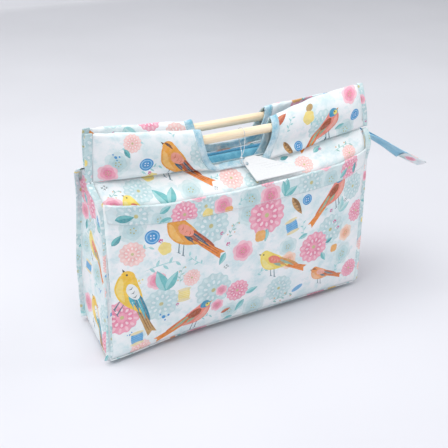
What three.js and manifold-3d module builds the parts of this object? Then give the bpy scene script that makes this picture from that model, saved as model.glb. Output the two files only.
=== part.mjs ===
// A fabric knitting bag with two wooden rod handles, in millimetres, +Z up.
// The origin is the middle of the flat underside; -Y is the front, where the pocket is.
// The bag is sewn from thin printed sheets over a plain lining. Its top is closed by a zip, whose tail hangs out
// past the right-hand end, and two loose sleeves stand on the top, each with a rod inside and a bound notch
// in the middle where a hand takes hold of the rod.
import * as THREE from "three";
import { mergeVertices } from "three/addons/utils/BufferGeometryUtils.js";
import Module from "manifold-3d";

const wasm = await Module();
wasm.setup();

// ---- Driving dimensions ----
const WIDTH = 392; // between the outer faces of the two gussets
const DEPTH = 110; // front panel to back panel at the base
const SHOULDER_Z = 216; // where the upright faces turn in
const SEAM_Z = 237; // top of the shoulders, where the sleeves are sewn on
const FRONT_SEAM_Y = -38;
const BACK_SEAM_Y = 12;
const FRONT_FULLNESS = 17; // how far the stuffed front stands out at its middle
const BACK_FULLNESS = 13;
const SHOULDER_DROP = 7; // how far the middle of a shoulder sinks below its ends
const CLOTH = 1.2; // printed cloth with its coating
const LINING = 0.6;
const GAP = 0.4; // between neighbouring solids
const POCKET_GAP = 7; // between the pocket and the front panel at the middle of the mouth
const ROD_RADIUS = 6;
const ROD_LENGTH = 330;
const ROD_Z = 267;
const NOTCH_LEFT_X = -57;
const NOTCH_RIGHT_X = 53;
const NOTCH_Z = 245;
const ZIP_Y = (FRONT_SEAM_Y + BACK_SEAM_Y) / 2;
const ZIP_Z = 234; // underside of the zip tape
const BINDING_WIDTH = 7;
const BINDING_THICKNESS = 2.6;

const HALF = WIDTH / 2;
const HINGE_Z = SEAM_Z + 1.5; // the sleeves fold about this line

// The heights of each sleeve's folded top at its two ends and beside its notch, where it droops, and how far its top
// leans along Y at the two ends.
const SLEEVES = {
  front: { seamY: FRONT_SEAM_Y, left: 303, right: 304, notch: 283, leanLeft: -5, leanRight: 11 },
  back: { seamY: BACK_SEAM_Y, left: 299, right: 292, notch: 281, leanLeft: -8, leanRight: -23 },
};

// ---- Materials ----
function material(color, roughness, metalness = 0) {
  return new THREE.MeshStandardMaterial({ color, roughness, metalness });
}
const PRINTED_CLOTH = material(0xe3ebec, 0.62);
const LINING_CLOTH = material(0xd6e4ea, 0.85);
const BLUE_BINDING = material(0xa8d2e4, 0.8);
const WOOD = material(0xe6cfa6, 0.55);
const BOARD = material(0xc9b79a, 0.9);
const ZIP_TAPE = material(0x4f9dc2, 0.85);
const ZIP_NYLON = material(0x3f8fb8, 0.45);
const METAL = material(0xc9ccd0, 0.3, 1);
const CARD = material(0xf6f6f4, 0.7);
const CLEAR_NYLON = material(0xe9eef2, 0.3);

// ---- Mesh helpers ----
function geometryFrom(vertices, triangles) {
  return new THREE.BufferGeometry()
    .setAttribute("position", new THREE.Float32BufferAttribute(vertices, 3))
    .setIndex(triangles);
}

// A sheet of cloth as a closed solid: outer(i, j) is a point of its outer face on a grid of columns by rows cells,
// and inner(i, j) is the point behind it.
function sheetGeometry(columns, rows, outer, inner) {
  const vertices = [];
  const triangles = [];
  const layer = (columns + 1) * (rows + 1);
  for (const face of [outer, inner]) {
    for (let j = 0; j <= rows; j++) {
      for (let i = 0; i <= columns; i++) vertices.push(...face(i, j));
    }
  }
  const at = (i, j) => j * (columns + 1) + i;
  const quad = (a, b, c, d) => triangles.push(a, b, c, a, c, d);
  for (let j = 0; j < rows; j++) {
    for (let i = 0; i < columns; i++) {
      const corners = [at(i, j), at(i + 1, j), at(i + 1, j + 1), at(i, j + 1)];
      quad(...corners);
      const [a, b, c, d] = corners.map((corner) => corner + layer);
      quad(a, d, c, b);
    }
  }
  const rim = [];
  for (let i = 0; i < columns; i++) rim.push(at(i, 0));
  for (let j = 0; j < rows; j++) rim.push(at(columns, j));
  for (let i = columns; i > 0; i--) rim.push(at(i, rows));
  for (let j = rows; j > 0; j--) rim.push(at(0, j));
  rim.forEach((a, k) => {
    const b = rim[(k + 1) % rim.length];
    quad(b, a, a + layer, b + layer);
  });
  return outward(geometryFrom(vertices, triangles));
}

// Turns a closed geometry's faces round if they point inwards.
function outward(geometry) {
  const position = geometry.getAttribute("position");
  const index = geometry.getIndex().array;
  const [a, b, c] = [new THREE.Vector3(), new THREE.Vector3(), new THREE.Vector3()];
  let volume = 0;
  for (let k = 0; k < index.length; k += 3) {
    a.fromBufferAttribute(position, index[k]);
    b.fromBufferAttribute(position, index[k + 1]);
    c.fromBufferAttribute(position, index[k + 2]);
    volume += a.dot(b.cross(c));
  }
  if (volume < 0) {
    for (let k = 0; k < index.length; k += 3) {
      [index[k + 1], index[k + 2]] = [index[k + 2], index[k + 1]];
    }
  }
  return geometry;
}

// Sweeps a closed section along points. sections[k] holds the section's corners at point k, all of equal count, and
// an open sweep's two ends are closed from side to side between its first and last corners.
function loftGeometry(sections, closed = false) {
  const count = sections[0].length;
  const vertices = sections.flat(2);
  const triangles = [];
  const last = closed ? sections.length : sections.length - 1;
  for (let k = 0; k < last; k++) {
    const next = (k + 1) % sections.length;
    for (let i = 0; i < count; i++) {
      const j = (i + 1) % count;
      const [a, b] = [k * count + i, k * count + j];
      const [c, d] = [next * count + j, next * count + i];
      triangles.push(a, b, c, a, c, d);
    }
  }
  if (!closed) {
    const end = (sections.length - 1) * count;
    let [low, high] = [0, count - 1];
    const cap = (a, b, c) => triangles.push(a, c, b, end + a, end + b, end + c);
    while (high - low > 1) {
      cap(low, low + 1, high);
      low += 1;
      if (high - low > 1) cap(low, high - 1, high);
      high -= 1;
    }
  }
  return outward(geometryFrom(vertices, triangles));
}

// A bar of rectangular section along a path: wide(k) and thick(k) are its two half-axes at point k.
function barGeometry(path, wide, thick, closed = false) {
  const sections = path.map((point, k) => {
    const [w, t] = [wide(k), thick(k)];
    const corner = (a, b) => point.map((value, n) => value + a * w[n] + b * t[n]);
    return [corner(-1, -1), corner(1, -1), corner(1, 1), corner(-1, 1)];
  });
  return loftGeometry(sections, closed);
}

function boxGeometry(x, y, z) {
  return new THREE.BoxGeometry(x[1] - x[0], y[1] - y[0], z[1] - z[0]).translate(
    (x[0] + x[1]) / 2,
    (y[0] + y[1]) / 2,
    (z[0] + z[1]) / 2,
  );
}

function solid(geometry) {
  const bare = geometry.clone();
  for (const name of Object.keys(bare.attributes)) {
    if (name !== "position") bare.deleteAttribute(name);
  }
  const merged = mergeVertices(bare, 1e-4);
  const vertProperties = new Float32Array(merged.attributes.position.array);
  const triVerts = new Uint32Array(merged.index.array);
  return new wasm.Manifold(new wasm.Mesh({ numProp: 3, vertProperties, triVerts }));
}

function geometryOf(manifold) {
  const mesh = manifold.getMesh();
  return geometryFrom(Array.from(mesh.vertProperties), Array.from(mesh.triVerts));
}

function union(...geometries) {
  return geometryOf(geometries.map(solid).reduce((a, b) => a.add(b)));
}

const bag = new THREE.Group();

function add(name, geometry, meshMaterial) {
  const mesh = new THREE.Mesh(geometry, meshMaterial);
  mesh.name = name;
  bag.add(mesh);
  return mesh;
}

// ---- The shape of the bag's walls ----
const mix = (a, b, t) => a + (b - a) * t;

// How full the stuffed bag is across its width: 1 in the middle, 0 at the side seams. share runs from -1 to 1.
const fullness = (share) => 1 - share ** 4;

// How the fullness grows from the base up.
const rise = (z) => Math.sin((Math.PI / 2) * Math.min(1, z / (0.72 * SHOULDER_Z))) ** 0.8;

// The front or back wall's outer profile at one share of the width: points {y, z} and the inward direction there.
// side is -1 for the front and 1 for the back.
const WALL_LEVELS = [0, 0.12, 0.28, 0.46, 0.64, 0.8, 0.92, 1];
const SHOULDER_STEPS = [0.3, 0.65, 1];
const STRIP_WIDTH = 9; // how far a wall's top runs on past the sleeve's seam, towards the zip
const SHOULDER_ROUNDING = 5; // the upright part ends this far below the shoulder's edge
const SHOULDER_CROWN = 3;

const WALL_BASE_Z = CLOTH + GAP;

// Height of the wall's upright part at one of its levels, from 0 to 1.
const wallHeight = (full, level) =>
  mix(WALL_BASE_Z, SHOULDER_Z - SHOULDER_DROP * full - SHOULDER_ROUNDING, level);

function wallProfile(side, share) {
  const full = fullness(share);
  const amount = side < 0 ? FRONT_FULLNESS : BACK_FULLNESS;
  const seamY = side < 0 ? FRONT_SEAM_Y : BACK_SEAM_Y;
  const shoulder = SHOULDER_Z - SHOULDER_DROP * full;
  const points = WALL_LEVELS.map((level) => {
    const z = wallHeight(full, level);
    return { y: side * (DEPTH / 2 + amount * full * rise(z)), z };
  });
  const edge = { y: side * (DEPTH / 2 + amount * full), z: shoulder };
  for (const t of SHOULDER_STEPS) {
    const crown = SHOULDER_CROWN * Math.sin(Math.PI * t) * (1 - t);
    points.push({ y: mix(edge.y, seamY, t), z: mix(edge.z, SEAM_Z, t) + crown });
  }
  points.push({ y: seamY - side * STRIP_WIDTH, z: SEAM_Z });
  return points;
}

// The direction into the bag at each point of a profile, square to it.
function inwards(points, side) {
  return points.map((point, k) => {
    const before = points[Math.max(k - 1, 0)];
    const after = points[Math.min(k + 1, points.length - 1)];
    const length = Math.hypot(after.y - before.y, after.z - before.z);
    return {
      y: (-side * (after.z - before.z)) / length,
      z: (side * (after.y - before.y)) / length,
    };
  });
}

const COLUMNS = 18;
const columnShare = (i) => (2 * i) / COLUMNS - 1;

// One layer of a wall: depth is how far its outer face lies inside the printed cloth's outer face.
function wallLayer(side, depth, thickness, halfWidth, stripShare) {
  const profiles = [];
  for (let i = 0; i <= COLUMNS; i++) {
    const points = wallProfile(side, columnShare(i));
    const last = points.length - 1;
    points[last].y = mix(points[last - 1].y, points[last].y, stripShare);
    profiles.push({ points, inward: inwards(points, side) });
  }
  const rows = profiles[0].points.length - 1;
  const face = (offset) => (i, j) => {
    const { points, inward } = profiles[i];
    return [
      columnShare(i) * halfWidth,
      points[j].y + inward[j].y * offset,
      points[j].z + (j === 0 ? 0 : inward[j].z * offset),
    ];
  };
  return sheetGeometry(COLUMNS, rows, face(depth), face(depth + thickness));
}

// ---- Walls ----
const LINING_INSET = 3.2; // from a wall's side edges to its lining's
const LINING_STRIP = 0.4; // the lining's share of the strip past the seam

function addWalls() {
  const depth = CLOTH + GAP;
  for (const [name, side] of [["front", -1], ["back", 1]]) {
    add(`${name}_panel`, wallLayer(side, 0, CLOTH, HALF, 1), PRINTED_CLOTH);
    add(`${name}_lining`, wallLayer(side, depth, LINING, HALF - LINING_INSET, LINING_STRIP), LINING_CLOTH);
  }
}

// A gusset fills one end between the walls. Its middle is drawn in a little.
const GUSSET_TOP_Z = ZIP_Z - 1.5;
const GUSSET_DENT = 5;
const NARROWING_Z = SHOULDER_Z - 4; // the gusset narrows to the seams from here up

function gussetGeometry(end, depth, thickness, base) {
  const rows = 8;
  const columns = 6;
  const inset = CLOTH + GAP + depth;
  const face = (offset) => (i, j) => {
    const z = mix(base, GUSSET_TOP_Z - depth, j / rows);
    const narrowing = THREE.MathUtils.clamp((z - NARROWING_Z) / (SEAM_Z - NARROWING_Z), 0, 1);
    const front = mix(-DEPTH / 2, FRONT_SEAM_Y, narrowing) + inset;
    const back = mix(DEPTH / 2, BACK_SEAM_Y, narrowing) - inset;
    const across = i / columns;
    const dent = GUSSET_DENT * Math.sin(Math.PI * across) * Math.sin((Math.PI * j) / rows);
    return [end * (HALF - offset - dent), mix(front, back, across), z];
  };
  return sheetGeometry(columns, rows, face(depth), face(depth + thickness));
}

function addGussets() {
  for (const [name, end] of [["left", -1], ["right", 1]]) {
    const depth = CLOTH + 2 * GAP;
    add(`${name}_gusset`, gussetGeometry(end, 0, CLOTH, WALL_BASE_Z), PRINTED_CLOTH);
    add(`${name}_lining`, gussetGeometry(end, depth, LINING, WALL_BASE_Z + CLOTH), LINING_CLOTH);
  }
}

// ---- Base ----
const BOARD_THICKNESS = 2;
const BOARD_INSET = 6; // from the base's edges

function addBase() {
  const side = DEPTH / 2;
  add("base_panel", boxGeometry([-HALF, HALF], [-side, side], [0, CLOTH]), PRINTED_CLOTH);
  const bottom = WALL_BASE_Z;
  const x = [-HALF + BOARD_INSET, HALF - BOARD_INSET];
  const y = [-side + BOARD_INSET, side - BOARD_INSET];
  const boardTop = bottom + BOARD_THICKNESS;
  add("base_board", boxGeometry(x, y, [bottom, boardTop]), BOARD);
  const lining = [boardTop + GAP, boardTop + GAP + LINING];
  add("base_lining", boxGeometry(x, y, lining), LINING_CLOTH);
}

// ---- Front pocket ----
const POCKET_TOP_DROP = 9; // how far the middle of the mouth hangs below its ends
const HEM_WIDTH = 22;
const HEM_EXTRA = 0.6; // the folded hem is thicker than the rest

function addPocket() {
  const rows = WALL_LEVELS.length;
  const top = (full) => SHOULDER_Z - 1 - POCKET_TOP_DROP * full;
  const outer = (i, j) => {
    const full = fullness(columnShare(i));
    const z = j < rows ? wallHeight(full, WALL_LEVELS[j]) : top(full);
    const wall = DEPTH / 2 + FRONT_FULLNESS * full * rise(z);
    const gape = GAP + CLOTH + POCKET_GAP * Math.sqrt(full) * Math.sqrt(j / rows);
    return [columnShare(i) * HALF, -(wall + gape), z];
  };
  const inner = (i, j) => {
    const [x, y, z] = outer(i, j);
    const full = fullness(columnShare(i));
    const hem = z > top(full) - HEM_WIDTH ? HEM_EXTRA * Math.sqrt(full) : 0;
    return [x, y + CLOTH + hem, z];
  };
  add("front_pocket", sheetGeometry(COLUMNS, rows, outer, inner), PRINTED_CLOTH);
}

// ---- Bindings on the upright seams ----
// Each is a flat fin along a corner of the bag, pointing out sideways in the plane of the wall.
const FIN_FOOT_Z = 2;
const FIN_TOP_INSET = 1.5; // from the seam at the shoulder's top

function addSeamBindings() {
  for (const [wall, side] of [["front", -1], ["back", 1]]) {
    const seamY = side < 0 ? FRONT_SEAM_Y : BACK_SEAM_Y;
    const profile = [
      { y: side * (DEPTH / 2), z: FIN_FOOT_Z },
      { y: side * (DEPTH / 2), z: SHOULDER_Z / 2 },
      { y: side * (DEPTH / 2), z: SHOULDER_Z - SHOULDER_ROUNDING },
      { y: side * (DEPTH / 2 - 1), z: SHOULDER_Z },
      { y: seamY + side * FIN_TOP_INSET, z: SEAM_Z - FIN_TOP_INSET },
    ];
    const inward = inwards(profile, side);
    for (const [name, end] of [["left", -1], ["right", 1]]) {
      const middle = end * (HALF + GAP + BINDING_WIDTH / 2);
      const path = profile.map((point) => [middle, point.y, point.z]);
      const wide = () => [BINDING_WIDTH / 2, 0, 0];
      const thick = (k) => [0, inward[k].y * (BINDING_THICKNESS / 2), inward[k].z * (BINDING_THICKNESS / 2)];
      add(`${wall}_${name}_binding`, barGeometry(path, wide, thick), PRINTED_CLOTH);
    }
  }
}

// ---- Sleeves ----
const SLEEVE_BASE_Z = HINGE_Z + 0.3;
const SLEEVE_HALF_THICKNESS = 9;
const SLEEVE_EDGE = 1.4; // half thickness of the two layers where they are sewn together
const SLEEVE_TAPER = 30; // the sleeve closes to its bound end over this length
const SLEEVE_END_WALL = 6; // the hollow inside a sleeve stops this far from its ends
const ROD_SHIFT = 0.05; // how far a rod moves off its seam's line, as a share of the sleeve's lean

// Height of a sleeve's folded top.
function sleeveTop(sleeve, x) {
  const [edge, reach] = x < 0 ? [NOTCH_LEFT_X, -HALF] : [NOTCH_RIGHT_X, HALF];
  const t = THREE.MathUtils.clamp((x - edge) / (reach - edge), 0, 1);
  return x < 0 ? mix(sleeve.notch, sleeve.left, t) : mix(sleeve.notch, sleeve.right, Math.sin((Math.PI / 2) * t));
}

// Where the sleeve's middle plane stands at height t, from 0 at its seam to 1 at its fold. The rod holds it upright
// in the middle, and it leans more towards its ends.
function sleeveMiddle(sleeve, x, t) {
  const lean = x < 0 ? sleeve.leanLeft : sleeve.leanRight;
  return sleeve.seamY + lean * (Math.abs(x) / HALF) * t ** 4;
}

const rodY = (sleeve) => sleeve.seamY + ROD_SHIFT * sleeve.leanRight;

// Half the sleeve's thickness at height t.
function sleeveHalf(x, t) {
  const open = Math.min(1, (HALF - Math.abs(x)) / SLEEVE_TAPER);
  const swell = Math.sin((Math.PI / 2) * open) ** 0.8 * (SLEEVE_HALF_THICKNESS - SLEEVE_EDGE * 0.4);
  const round = Math.max(0, Math.sin(Math.PI * t ** 1.05)) ** (t < 0.5 ? 1.6 : 0.62);
  return SLEEVE_EDGE * (1 - t ** 6) + swell * round;
}

const SLEEVE_STATIONS = [1, 0.985, 0.95, 0.9, 0.85, 0.7, 0.55, 0.42, 0.28];
const SLEEVE_LEVELS = [0, 0.04, 0.11, 0.25, 0.45, 0.62, 0.78, 0.9, 0.97];

// One closed body of a sleeve's outline, drawn in by inset on every side.
function sleeveBody(sleeve, inset, reach) {
  const stations = [...SLEEVE_STATIONS.map((s) => -s), 0, ...[...SLEEVE_STATIONS].reverse()];
  const sections = stations.map((share) => {
    const x = share * reach;
    const [low, high] = [SLEEVE_BASE_Z + inset, sleeveTop(sleeve, x) - inset];
    const half = (t) => Math.max(0.25, sleeveHalf(x, t) - inset);
    const level = (t, side) => [x, sleeveMiddle(sleeve, x, t) + side * half(t), mix(low, high, t)];
    const front = SLEEVE_LEVELS.map((t) => level(t, -1));
    const back = [...SLEEVE_LEVELS].reverse().map((t) => level(t, 1));
    return [...front, [x, sleeveMiddle(sleeve, x, 1), high], ...back];
  });
  return loftGeometry(sections);
}

// The notch's outline in x and z, from its top left down and round to its top right, drawn in by inset.
const NOTCH_CORNER = 34;
const NOTCH_OPEN_Z = 320; // above both sleeves
const NOTCH_STEPS = 6;

function notchOutline(inset) {
  const [left, right] = [NOTCH_LEFT_X + inset, NOTCH_RIGHT_X - inset];
  const bottom = NOTCH_Z + inset;
  const corner = NOTCH_CORNER - inset;
  const turns = Array.from({ length: NOTCH_STEPS + 1 }, (_, k) => (Math.PI / 2) * (k / NOTCH_STEPS));
  const across = (turn) => corner * (1 - Math.cos(turn));
  const height = (turn) => bottom + corner * (1 - Math.sin(turn));
  return [
    [left, NOTCH_OPEN_Z],
    ...turns.map((turn) => [left + across(turn), height(turn)]),
    ...turns.reverse().map((turn) => [right - across(turn), height(turn)]),
    [right, NOTCH_OPEN_Z],
  ];
}

// A prism through the sleeve with the notch's outline, never reaching lower than floorZ.
function notchCutter(seamY, outset, floorZ) {
  const reach = 40;
  const section = (y) => notchOutline(-outset).map(([x, z]) => [x, y, Math.max(z, floorZ)]);
  return solid(prismGeometry(section(seamY - reach), section(seamY + reach)));
}

// A prism between two matching outlines, its ends cut into triangles.
function prismGeometry(first, second) {
  const flat = first.map(([x, , z]) => new THREE.Vector2(x, z));
  const faces = THREE.ShapeUtils.triangulateShape(flat, []);
  const count = first.length;
  const triangles = [];
  for (const [a, b, c] of faces) triangles.push(a, b, c, a + count, c + count, b + count);
  for (let i = 0; i < count; i++) {
    const j = (i + 1) % count;
    triangles.push(j, i, i + count, j, i + count, j + count);
  }
  return outward(geometryFrom([...first, ...second].flat(), triangles));
}

// The sleeve and the binding round its notch are cut from one thin shell.
const NOTCH_BAND = 8; // width of the binding
const STRIP_Z = SLEEVE_BASE_Z + 1.4; // the sleeve's two layers are joined below this

function sleeveShell(sleeve) {
  return solid(sleeveBody(sleeve, 0, HALF)).subtract(solid(sleeveBody(sleeve, CLOTH, HALF - SLEEVE_END_WALL)));
}

function sleeveGeometry(sleeve) {
  return geometryOf(sleeveShell(sleeve).subtract(notchCutter(sleeve.seamY, NOTCH_BAND + GAP, STRIP_Z)));
}

function notchBindingGeometry(sleeve) {
  const outer = notchCutter(sleeve.seamY, NOTCH_BAND, STRIP_Z + GAP);
  return geometryOf(sleeveShell(sleeve).intersect(outer.subtract(notchCutter(sleeve.seamY, 0, NOTCH_Z))));
}

// The bound fin on a sleeve's end: end is -1 on the left and 1 on the right.
function sleeveEndGeometry(sleeve, end) {
  const inset = 1;
  const top = (end < 0 ? sleeve.left : sleeve.right) - inset;
  const bottom = SLEEVE_BASE_Z + inset;
  const path = [0, 0.4, 0.65, 0.85, 1].map((t) => [
    end * (HALF + GAP + BINDING_WIDTH / 2),
    sleeveMiddle(sleeve, end * HALF, t),
    mix(bottom, top, t),
  ]);
  return barGeometry(path, () => [BINDING_WIDTH / 2, 0, 0], () => [0, BINDING_THICKNESS / 2, 0]);
}

function addHandle(name) {
  const sleeve = SLEEVES[name];
  add(`${name}_sleeve`, sleeveGeometry(sleeve), PRINTED_CLOTH);
  add(`${name}_notch_binding`, notchBindingGeometry(sleeve), BLUE_BINDING);
  for (const [end, sign] of [["left", -1], ["right", 1]]) {
    add(`${name}_sleeve_${end}_binding`, sleeveEndGeometry(sleeve, sign), PRINTED_CLOTH);
  }
  const mesh = add(`${name}_rod`, rodGeometry(), WOOD);
  mesh.position.set(0, rodY(sleeve), ROD_Z);
}

// A turned rod along X with rounded ends.
function rodGeometry() {
  const round = 1.2;
  const half = ROD_LENGTH / 2;
  const outline = [
    [0, -half],
    [ROD_RADIUS - round, -half],
    [ROD_RADIUS, -half + round],
    [ROD_RADIUS, half - round],
    [ROD_RADIUS - round, half],
    [0, half],
  ];
  const points = outline.map(([radius, along]) => new THREE.Vector2(radius, along));
  return new THREE.LatheGeometry(points, 32).rotateZ(-Math.PI / 2);
}

// ---- Zip ----
const TAPE_HALF = 17.5; // from the zip's middle to a tape's outer edge
const TAPE_THICKNESS = 0.8;
const TAPE_SPLIT = 0.7; // from the zip's middle to a tape's inner edge
const COIL = { near: 0.6, far: 3.2, height: 2 };
const COIL_Z = ZIP_Z + TAPE_THICKNESS + 0.3;
const LEAF = [-176, 172]; // the stretch of tape that parts when the zip is open
const LEFT_END = [-194, LEAF[0] - GAP];
const RIGHT_END = [LEAF[1] + GAP, HALF + 1.2];

// The slider's two plates hold the zip between them, and the puller's cross bar turns under the bridge on top.
const SLIDER_X = -186;
const SLIDER_LENGTH = 12;
const SLIDER_HALF_WIDTH = 4.6;
const SLIDER_PLATE = 1.3;
const SLIDER_GAP = 0.4; // from the zip to each plate
const SLIDER_TOP = COIL_Z + COIL.height + SLIDER_GAP;
const SLIDER_BOTTOM = ZIP_Z - SLIDER_GAP;
const SLIDER_WEB = { start: 1, length: 4, half: 0.3 };
const BRIDGE = { half: 3.4, halfWidth: 0.8, low: 1.9, high: 2.8, post: 1 };
const EMBED = 0.2; // how far joined blocks run into each other

// y runs from near to far on one side of the zip's middle: side is -1 for the front.
const acrossZip = (side, near, far) => {
  const ends = [ZIP_Y + side * near, ZIP_Y + side * far];
  return ends.sort((a, b) => a - b);
};

function tapeBox(side, x) {
  return boxGeometry(x, acrossZip(side, TAPE_SPLIT, TAPE_HALF), [ZIP_Z, ZIP_Z + TAPE_THICKNESS]);
}

function coilBox(side, x, bottom = COIL_Z) {
  return boxGeometry(x, acrossZip(side, COIL.near, COIL.far), [bottom, COIL_Z + COIL.height]);
}

// A fixed end of the zip, where the two tapes are stitched to each other past the slider's reach.
function zipEnd(x, joined) {
  const tape = boxGeometry(joined, [ZIP_Y - 2, ZIP_Y + 2], [ZIP_Z, ZIP_Z + TAPE_THICKNESS]);
  const sides = [-1, 1].flatMap((side) => [tapeBox(side, x), coilBox(side, x, ZIP_Z + 0.2)]);
  return union(tape, ...sides);
}

function sliderGeometry() {
  const about = (centre, half) => [centre - half, centre + half];
  const x = about(SLIDER_X, SLIDER_LENGTH / 2);
  const width = about(ZIP_Y, SLIDER_HALF_WIDTH);
  const topPlate = boxGeometry(x, width, [SLIDER_TOP, SLIDER_TOP + SLIDER_PLATE]);
  const bottomPlate = boxGeometry(x, width, [SLIDER_BOTTOM - SLIDER_PLATE, SLIDER_BOTTOM]);
  const webStart = x[0] + SLIDER_WEB.start;
  const web = boxGeometry(
    [webStart, webStart + SLIDER_WEB.length],
    about(ZIP_Y, SLIDER_WEB.half),
    [SLIDER_BOTTOM - EMBED, SLIDER_TOP + EMBED],
  );
  const deck = SLIDER_TOP + SLIDER_PLATE;
  const bridgeWidth = about(ZIP_Y, BRIDGE.halfWidth);
  const posts = [SLIDER_X - BRIDGE.half, SLIDER_X + BRIDGE.half - BRIDGE.post].map((start) =>
    boxGeometry([start, start + BRIDGE.post], bridgeWidth, [deck - EMBED, deck + BRIDGE.high - EMBED]),
  );
  const bridge = boxGeometry(about(SLIDER_X, BRIDGE.half), bridgeWidth, [deck + BRIDGE.low, deck + BRIDGE.high]);
  return union(topPlate, bottomPlate, web, ...posts, bridge);
}

// The puller's plate points along +X.
const PULLER = { length: 26, half: 0.5, halfWidth: 3.8, eyeHalf: 3.4, eyeLength: 6, arm: 1, lift: 0.95 };

function pullerGeometry() {
  const { half, eyeHalf, arm } = PULLER;
  const z = SLIDER_TOP + SLIDER_PLATE + PULLER.lift;
  const thick = [z - half, z + half];
  const crossBar = boxGeometry([SLIDER_X - half, SLIDER_X + half], [ZIP_Y - eyeHalf, ZIP_Y + eyeHalf], thick);
  const plateStart = SLIDER_X + PULLER.eyeLength;
  const arms = [-eyeHalf, eyeHalf - arm].map((start) =>
    boxGeometry([SLIDER_X - half, plateStart + 1], [ZIP_Y + start, ZIP_Y + start + arm], thick),
  );
  const plate = boxGeometry(
    [plateStart, SLIDER_X + PULLER.length],
    [ZIP_Y - PULLER.halfWidth, ZIP_Y + PULLER.halfWidth],
    thick,
  );
  return union(crossBar, ...arms, plate);
}

// The tail's middle line past the right-hand end: it droops and turns towards the front.
const TAIL_POINTS = [
  [199, -13, 234.4],
  [210, -13.8, 233.6],
  [230, -23, 224],
  [256, -33, 207.5],
  [280, -44, 190.5],
];
const TAB_POINTS = [
  [281.5, -44.7, 189.4],
  [296, -51.5, 180.5],
  [309, -57.5, 173.5],
];
const TAIL_TAPE = { halfWidth: 15.5, halfThickness: 0.5, lift: 0 };
const TAIL_COIL = { halfWidth: 3, halfThickness: 0.8, lift: 1.9 };
const TAIL_TAB = { halfWidth: 14, halfThickness: 1.6, lift: 0 };

// A flat strip along points, lifted off their line.
function stripGeometry(points, { halfWidth, halfThickness, lift }) {
  const curve = new THREE.CatmullRomCurve3(points.map((point) => new THREE.Vector3(...point)));
  const steps = 2 * (points.length - 1);
  const path = [];
  const wide = [];
  const thick = [];
  for (let k = 0; k <= steps; k++) {
    const along = curve.getTangent(k / steps);
    const across = new THREE.Vector3(-along.y, along.x, 0).normalize();
    const up = new THREE.Vector3().crossVectors(along, across).normalize();
    path.push(curve.getPoint(k / steps).addScaledVector(up, lift).toArray());
    wide.push(across.multiplyScalar(halfWidth).toArray());
    thick.push(up.multiplyScalar(halfThickness).toArray());
  }
  return barGeometry(path, (k) => wide[k], (k) => thick[k]);
}

function addZip() {
  add("zip_front_tape", tapeBox(-1, LEAF), ZIP_TAPE);
  add("zip_back_tape", tapeBox(1, LEAF), ZIP_TAPE);
  add("zip_front_coil", coilBox(-1, LEAF), ZIP_NYLON);
  add("zip_back_coil", coilBox(1, LEAF), ZIP_NYLON);
  add("zip_left_end", zipEnd(LEFT_END, [LEFT_END[0], LEFT_END[0] + 1.2]), ZIP_TAPE);
  add("zip_right_end", zipEnd(RIGHT_END, [RIGHT_END[1] - 5, RIGHT_END[1]]), ZIP_TAPE);
  add("zip_slider", sliderGeometry(), METAL);
  add("zip_puller", pullerGeometry(), METAL);
  add("zip_tail_tape", stripGeometry(TAIL_POINTS, TAIL_TAPE), ZIP_TAPE);
  add("zip_tail_coil", stripGeometry(TAIL_POINTS, TAIL_COIL), ZIP_NYLON);
  add("zip_tail_tab", stripGeometry(TAB_POINTS, TAIL_TAB), PRINTED_CLOTH);
}

// ---- Swing tag ----
// A plain card above the front shoulder, on a nylon loop that goes round the front rod. In the card's own terms,
// along is +X, down is down the slope, and above is square to its face, all from the middle of its hole.
const CARD_HOLE = new THREE.Vector3(2, -55.7, 230.6);
const CARD_HOLE_RADIUS = 2.2;
const CARD_THICKNESS = 0.8;
const CARD_OUTLINE = [
  [-5, -4],
  [4, 27],
  [80, 27],
  [80, 23],
  [14, -10],
  [1, -9],
];
const cardAlong = new THREE.Vector3(1, 0, 0);
const cardDown = new THREE.Vector3(0, -0.71, -0.704).normalize();
const cardUp = new THREE.Vector3().crossVectors(cardDown, cardAlong).normalize();

function cardPoint(along, down, above) {
  return CARD_HOLE.clone()
    .addScaledVector(cardAlong, along)
    .addScaledVector(cardDown, down)
    .addScaledVector(cardUp, above);
}

function cardGeometry() {
  const shape = new THREE.Shape(CARD_OUTLINE.map(([along, down]) => new THREE.Vector2(along, -down)));
  const hole = new THREE.Path();
  hole.absarc(0, 0, CARD_HOLE_RADIUS, 0, Math.PI * 2, true);
  shape.holes.push(hole);
  const geometry = new THREE.ExtrudeGeometry(shape, {
    depth: CARD_THICKNESS,
    bevelEnabled: false,
    curveSegments: 6,
  });
  const frame = new THREE.Matrix4().makeBasis(cardAlong, cardDown.clone().negate(), cardUp);
  return geometry.translate(0, 0, -CARD_THICKNESS / 2).applyMatrix4(frame.setPosition(CARD_HOLE));
}

// The loop starts above its lock, goes down through the card's hole and back round the card's left edge, up and over
// the rod, and down again to the lock.
const LOOP_RADIUS = 0.45;
const LOOP_X = 5;
const LOOP_ROUND = ROD_RADIUS + 1.5;
const LOOP_HEAD_STEPS = 8;
const LOCK_RADIUS = 1.5;

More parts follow.
